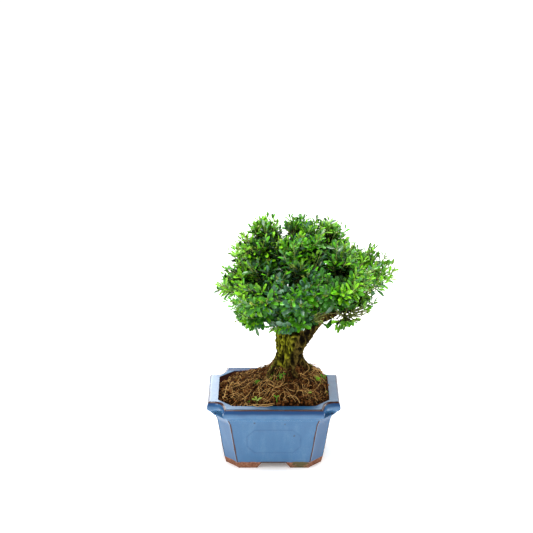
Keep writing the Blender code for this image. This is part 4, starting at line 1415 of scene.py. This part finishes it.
# %% Leaf colours and where they go
# the undersides are paler, partly as box leaves are and partly as painted light shining through the leaf
LEAF_TONES = {  # upper side, underside, shine, width over length
    "leaf_fresh": ((0.290, 0.780, 0.012), (0.400, 0.760, 0.060), 0.50, 0.27),
    "leaf_green": ((0.115, 0.500, 0.006), (0.200, 0.500, 0.030), 0.60, 0.29),
    "leaf_deep": ((0.044, 0.245, 0.012), (0.095, 0.290, 0.040), 0.80, 0.34),
    # the bluish upper colour is partly the old leaves' own blue green and partly a painted sheen
    "leaf_bluish": ((0.080, 0.265, 0.120), (0.150, 0.330, 0.160), 1.00, 0.36),
    "leaf_yellowed": ((0.400, 0.540, 0.080), (0.400, 0.520, 0.100), 0.35, 0.34),
    "leaf_shaded": ((0.005, 0.038, 0.001), (0.016, 0.060, 0.003), 0.20, 0.32),
}
TONE_NUMBERS = {name: number for number, name in enumerate(LEAF_TONES)}
LEAF_SHAPES = [shape for _, _, _, shape in LEAF_TONES.values()]
LEAF_DARKEST = 0.10  # of the colour, where a leaf is fully dim
YELLOWED_SHARE = 0.003
YELLOWED_AT_FORK = 0.45
GREEN_SHARE = 0.26
BLUISH_SHEEN_SHARE = 0.62  # of the old leaves, over the trunk
BLUISH_SHEEN_MIDDLE = 0.0180
TWIG_TONES = {"twig_bark": (0.150, 0.110, 0.045), "twig_green": (0.290, 0.350, 0.090)}


def spray_tone(tip, rng):
    """The number of the colour for a spray whose tip is here."""
    bright = young_share(tip)
    draw = rng.random()
    at_fork = tip.y < 0.010 and 0.034 < tip.x < 0.064 and tip.z < 0.176
    if draw < (YELLOWED_AT_FORK if at_fork else YELLOWED_SHARE):
        return TONE_NUMBERS["leaf_yellowed"]
    if draw < bright:
        return TONE_NUMBERS["leaf_fresh"]
    if draw < bright + GREEN_SHARE:
        return TONE_NUMBERS["leaf_green"]
    # where the bluish colour with its painted sheen is dealt out
    sheen_share = BLUISH_SHEEN_SHARE * (1 - 0.75 * soft_step(0.020, 0.045, abs(tip.x - BLUISH_SHEEN_MIDDLE)))
    return TONE_NUMBERS["leaf_bluish" if rng.random() < sheen_share else "leaf_deep"]


leaf_materials = []
for name, (upper, underside_with_painted_glow, shine, _) in LEAF_TONES.items():
    material, tree, shader = new_material(name)
    flecks = use_group(tree, grain, "Value", Scale=330.0, Detail=3.0, Contrast=1.5)
    face_up = shades(tree, flecks, upper, 0.72, 1.25)
    back = node(tree, "ShaderNodeNewGeometry").outputs["Backfacing"]
    # underside colour: the leaf's own paler side, with painted light shining through
    leaf_face = mixed(tree, back, face_up, colour(*underside_with_painted_glow))
    dark = colour(*(c * LEAF_DARKEST for c in upper))
    tree.links.new(mixed(tree, stored(tree, "dim"), leaf_face, dark), shader["Base Color"])
    tree.links.new(maths(tree, "MULTIPLY_ADD", back, 0.25, 0.36), shader["Roughness"])
    shader["Specular IOR Level"].default_value = shine
    tree.links.new(bump(tree, flecks, 0.25, 0.0004), shader["Normal"])
    leaf_materials.append(material)

twig_materials = []
for name, tone in TWIG_TONES.items():
    material, tree, shader = new_material(name)
    streaks = use_group(tree, grain, "Value", Scale=400.0, Stretch=2.5, Detail=3.0, Contrast=1.8)
    tree.links.new(shades(tree, streaks, tone, 0.5, 1.35), shader["Base Color"])
    shader["Roughness"].default_value = 0.7
    twig_materials.append(material)
print("leaf colours:", ", ".join(LEAF_TONES))

# %% Grow the leaves of one mass
HUB_SHARE = 0.85  # a mass's stem runs this much of the way to its middle
TWIG_RADIUS = 0.0010
SHOOT_RADIUS = 0.00060
BARE = (0.18, 0.27)  # share of a shoot without leaves, and how much longer it may be
FEWER_PAIRS = 0.30  # share of the pairs left out, where every spray is young
LEAF_EXTRA = (0.006, 0.004)  # how far leaf tips may stand past the sprays, and how much further
YOUNG_TIPS = 0.4  # share of the last leaves that are younger than their spray
SHADED_SHARE = 0.75  # of the inner leaves, where no spray is young
LEAF_CLEARANCE = 0.0008  # from the middle of a leaf to the wood
LEAF_SHADE = (-0.10, 0.40)  # each leaf adds one value from this range to the dim values of its points
BUD_SHARE = 0.20  # of the shoots end in a pale bud
BUD_LEAVES = 6
BUD_TURN = 1.1
BUD_LENGTH = (0.0024, 0.0040)
BUD_WIDTH = 0.0014


def leaf_shoot(points, faces, kinds, dims, line, rng):
    """Sets pairs of leaves along a shoot, each pair a right angle on from the one below it."""
    tone = spray_tone(line[-1], rng)
    young = TONE_NUMBERS["leaf_fresh" if rng.random() < young_share(line[-1]) else "leaf_green"]
    length = sum((b - a).length for a, b in zip(line, line[1:]))
    bare = BARE[0] + BARE[1] * rng.random()
    pairs = max(2, round(length * (1 - bare) / PAIR_STEP * (1 - FEWER_PAIRS * young_share(line[-1]))))
    small = 1 - YOUNG_SHRINK * young_share(line[-1])
    turn = rng.uniform(0, math.pi)
    extra = LEAF_EXTRA[0] + LEAF_EXTRA[1] * rng.random()
    for pair in range(pairs + 1):
        share = bare + (1 - bare) * pair / pairs
        root = point_along(line, min(share, 0.995))
        axis = (line[-1] - line[-2]).normalized() if share > 0.5 else (line[1] - line[0]).normalized()
        crosswise = Matrix.Rotation(turn + pair * math.pi / 2, 3, axis) @ axis.orthogonal().normalized()
        size = rng.uniform(*LEAF_LENGTH) * (1.0 - 0.40 * max(0.0, share - 0.62) / 0.38) * small
        lean = math.radians(64 - 40 * share**3)
        for side in (1, -1):
            away = axis * math.cos(lean) + crosswise * (side * math.sin(lean))
            away += Vector((rng.uniform(-0.2, 0.2), rng.uniform(-0.2, 0.2), rng.uniform(-0.15, 0.2)))
            away.normalize()
            tip = root + away * size
            heart = root.lerp(tip, 0.5)
            if not (in_sprays(tip, extra) and above_underside(tip)) or in_window(tip) or in_window(heart):
                continue
            if not clear_of_wood(heart, LEAF_CLEARANCE):
                continue
            upper = (root - CROWN_HEART).normalized() * 0.15 + axis + Vector((0, 0, 0.20))
            upper += Vector((rng.uniform(-0.4, 0.4), rng.uniform(-0.4, 0.4), rng.uniform(-0.3, 0.3)))
            kind = young if pair >= pairs - 1 and tone > 1 and rng.random() < YOUNG_TIPS else tone
            if in_sprays(root, INNER_LEAVES) and rng.random() < SHADED_SHARE - young_share(root):
                kind = TONE_NUMBERS["leaf_shaded"]
            before = len(faces)
            width = size * LEAF_SHAPES[kind] * rng.uniform(0.9, 1.15)
            add_leaf(points, faces, root, away, upper, size, width)
            kinds += [kind] * (len(faces) - before)
            own = rng.uniform(*LEAF_SHADE)
            dims += [min(1.0, max(0.0, dim + own)) for dim in LEAF_DIM]
    if in_sprays(line[-1], 0.001) and rng.random() < BUD_SHARE:
        axis = (line[-1] - line[-2]).normalized()
        for bud in range(BUD_LEAVES):
            crosswise = Matrix.Rotation(bud * BUD_TURN, 3, axis) @ axis.orthogonal().normalized()
            away = (axis + crosswise * rng.uniform(0.3, 1.1)).normalized()
            add_leaf(points, faces, line[-1], away, axis, rng.uniform(*BUD_LENGTH), BUD_WIDTH)
            dims += LEAF_DIM
        kinds += [TONE_NUMBERS["leaf_yellowed"]] * (len(faces) - len(kinds))


def grow_mass(name, twig_points, twig_faces, twig_kinds):
    """The leaves of one mass, as lists. Its stem, twigs and shoots are added to the shared lists."""
    rng = random.Random(f"{name} {SEED}")
    line, radii = WOOD[CARRIERS[name]]
    forward = (line[-1] - line[-2]).normalized()
    base = line[-1] + forward * 0.003
    hub = base.lerp(SPACES[name][0], HUB_SHARE)
    stem = smooth_line([line[-1] - forward * 0.002, base, base.lerp(hub, 0.5), hub], 3)
    add_tube(twig_points, twig_faces, stem, tapered(stem, radii[-1] * 0.95, TWIG_RADIUS * 1.2), 8)
    twig_kinds += [0] * (len(twig_faces) - len(twig_kinds))
    points, faces, kinds, dims = [], [], [], []
    for twig in twig_lines(name, base, hub, rng):
        if not all(clear_of_wood(p, TWIG_RADIUS) for p in twig[3:]):
            continue
        add_tube(twig_points, twig_faces, twig, tapered(twig, TWIG_RADIUS, TWIG_RADIUS * 0.7), 6)
        twig_kinds += [0] * (len(twig_faces) - len(twig_kinds))
        for number in range(SHOOTS):
            shoot = shoot_line(twig, number, rng)
            if shoot is None or not (clear_of_wood(shoot[-1], 0.001) and above_underside(shoot[-1])):
                continue
            add_tube(twig_points, twig_faces, shoot, tapered(shoot, SHOOT_RADIUS, SHOOT_RADIUS * 0.6), 4)
            twig_kinds += [1] * (len(twig_faces) - len(twig_kinds))
            leaf_shoot(points, faces, kinds, dims, shoot, rng)
    return points, faces, kinds, dims


# %% Grow all fifteen masses
twig_points, twig_faces, twig_kinds = [], [], []
leaf_total = 0
for name in MASSES:
    points, faces, kinds, dims = grow_mass(name, twig_points, twig_faces, twig_kinds)
    leaf_total += len(faces) // len(LEAF_FACES)
    mesh = new_mesh("leaves_" + name, points, faces, kinds)
    add_values(mesh, "dim", dims)
    add_piece("leaves_" + name, mesh, leaf_materials, ["foliage_" + name])
twig_mesh = new_mesh("twigs", twig_points, twig_faces, twig_kinds)
add_piece("twigs", twig_mesh, twig_materials)
print(leaf_total, "leaves")

# %% [markdown]
# ## Small growth on the soil
# A few things live on the mound: a pale seedling, a sprout, fallen leaves, and moss in the hollows
# round the foot of the trunk. They are the same leaf, made smaller.

# %% Seedlings, fallen leaves and moss
SEEDLINGS = (  # place, height of the stem, number and length of its leaves, colour
    ((-0.0182, -0.0420), 0.0045, 4, 0.0062, "leaf_yellowed"),
    ((0.0036, -0.0463), 0.0070, 3, 0.0036, "leaf_green"),
    ((0.0580, 0.0020), 0.0030, 3, 0.0040, "leaf_green"),
)
FALLEN = (  # place, heading in degrees, length, colour
    ((0.0615, -0.0180), 165, 0.0065, "leaf_fresh"),
    ((-0.0305, -0.0390), 20, 0.0050, "leaf_green"),
    ((0.0378, -0.0329), 15, 0.0050, "leaf_yellowed"),
    ((-0.0440, 0.0200), 60, 0.0040, "leaf_green"),
)
MOSS = (  # place and reach
    (-0.0030, 0.0007, 0.0045), (-0.0019, -0.0086, 0.0040), (-0.0189, -0.0068, 0.0035),
    (0.0080, -0.0150, 0.0030), (0.0500, -0.0060, 0.0040), (0.0560, 0.0040, 0.0030),
    (0.0400, 0.0200, 0.0045),
)
MOSS_BLADES = 45
BLADE_LENGTH = (0.0010, 0.0024)
BLADE_WIDTH = 0.0007
rng = random.Random(31)
points, faces, kinds = [], [], []
for (x, y), tall, count, length, tone in SEEDLINGS:
    foot = Vector((x, y, lumpy_height(x, y) - 0.0005))
    top = foot + Vector((-0.0008, 0, tall))
    add_tube(points, faces, [foot, foot.lerp(top, 0.5), top], [0.0003, 0.00025, 0.0002], 5)
    for i in range(count):
        angle = math.tau * (i + 0.2) / count
        away = Vector((math.cos(angle), math.sin(angle), 0.45)).normalized()
        add_leaf(points, faces, top, away, Vector((0, -0.5, 1)), length, length * 0.42)
    kinds += [TONE_NUMBERS[tone]] * (len(faces) - len(kinds))
for (x, y), heading, length, tone in FALLEN:
    turn = math.radians(heading)
    away = Vector((math.cos(turn), math.sin(turn), 0.15)).normalized()
    root = Vector((x, y, lumpy_height(x, y) + 0.0008))
    add_leaf(points, faces, root, away, Vector((0, -0.6, 1)), length, length * 0.45)
    kinds += [TONE_NUMBERS[tone]] * (len(faces) - len(kinds))
for x, y, reach in MOSS:
    for _ in range(MOSS_BLADES):
        at_x, at_y = x + rng.gauss(0, reach / 2), y + rng.gauss(0, reach / 2)
        away = Vector((rng.uniform(-0.7, 0.7), rng.uniform(-0.7, 0.7), 1)).normalized()
        root = Vector((at_x, at_y, lumpy_height(at_x, at_y) - 0.0002))
        blade = rng.uniform(*BLADE_LENGTH)
        add_leaf(points, faces, root, away, Vector((0, -1, 0.5)), blade, BLADE_WIDTH)
    tone = TONE_NUMBERS["leaf_fresh" if reach > 0.0038 else "leaf_green"]
    kinds += [tone] * (len(faces) - len(kinds))
add_piece("soil_growth", new_mesh("soil_growth", points, faces, kinds), leaf_materials)
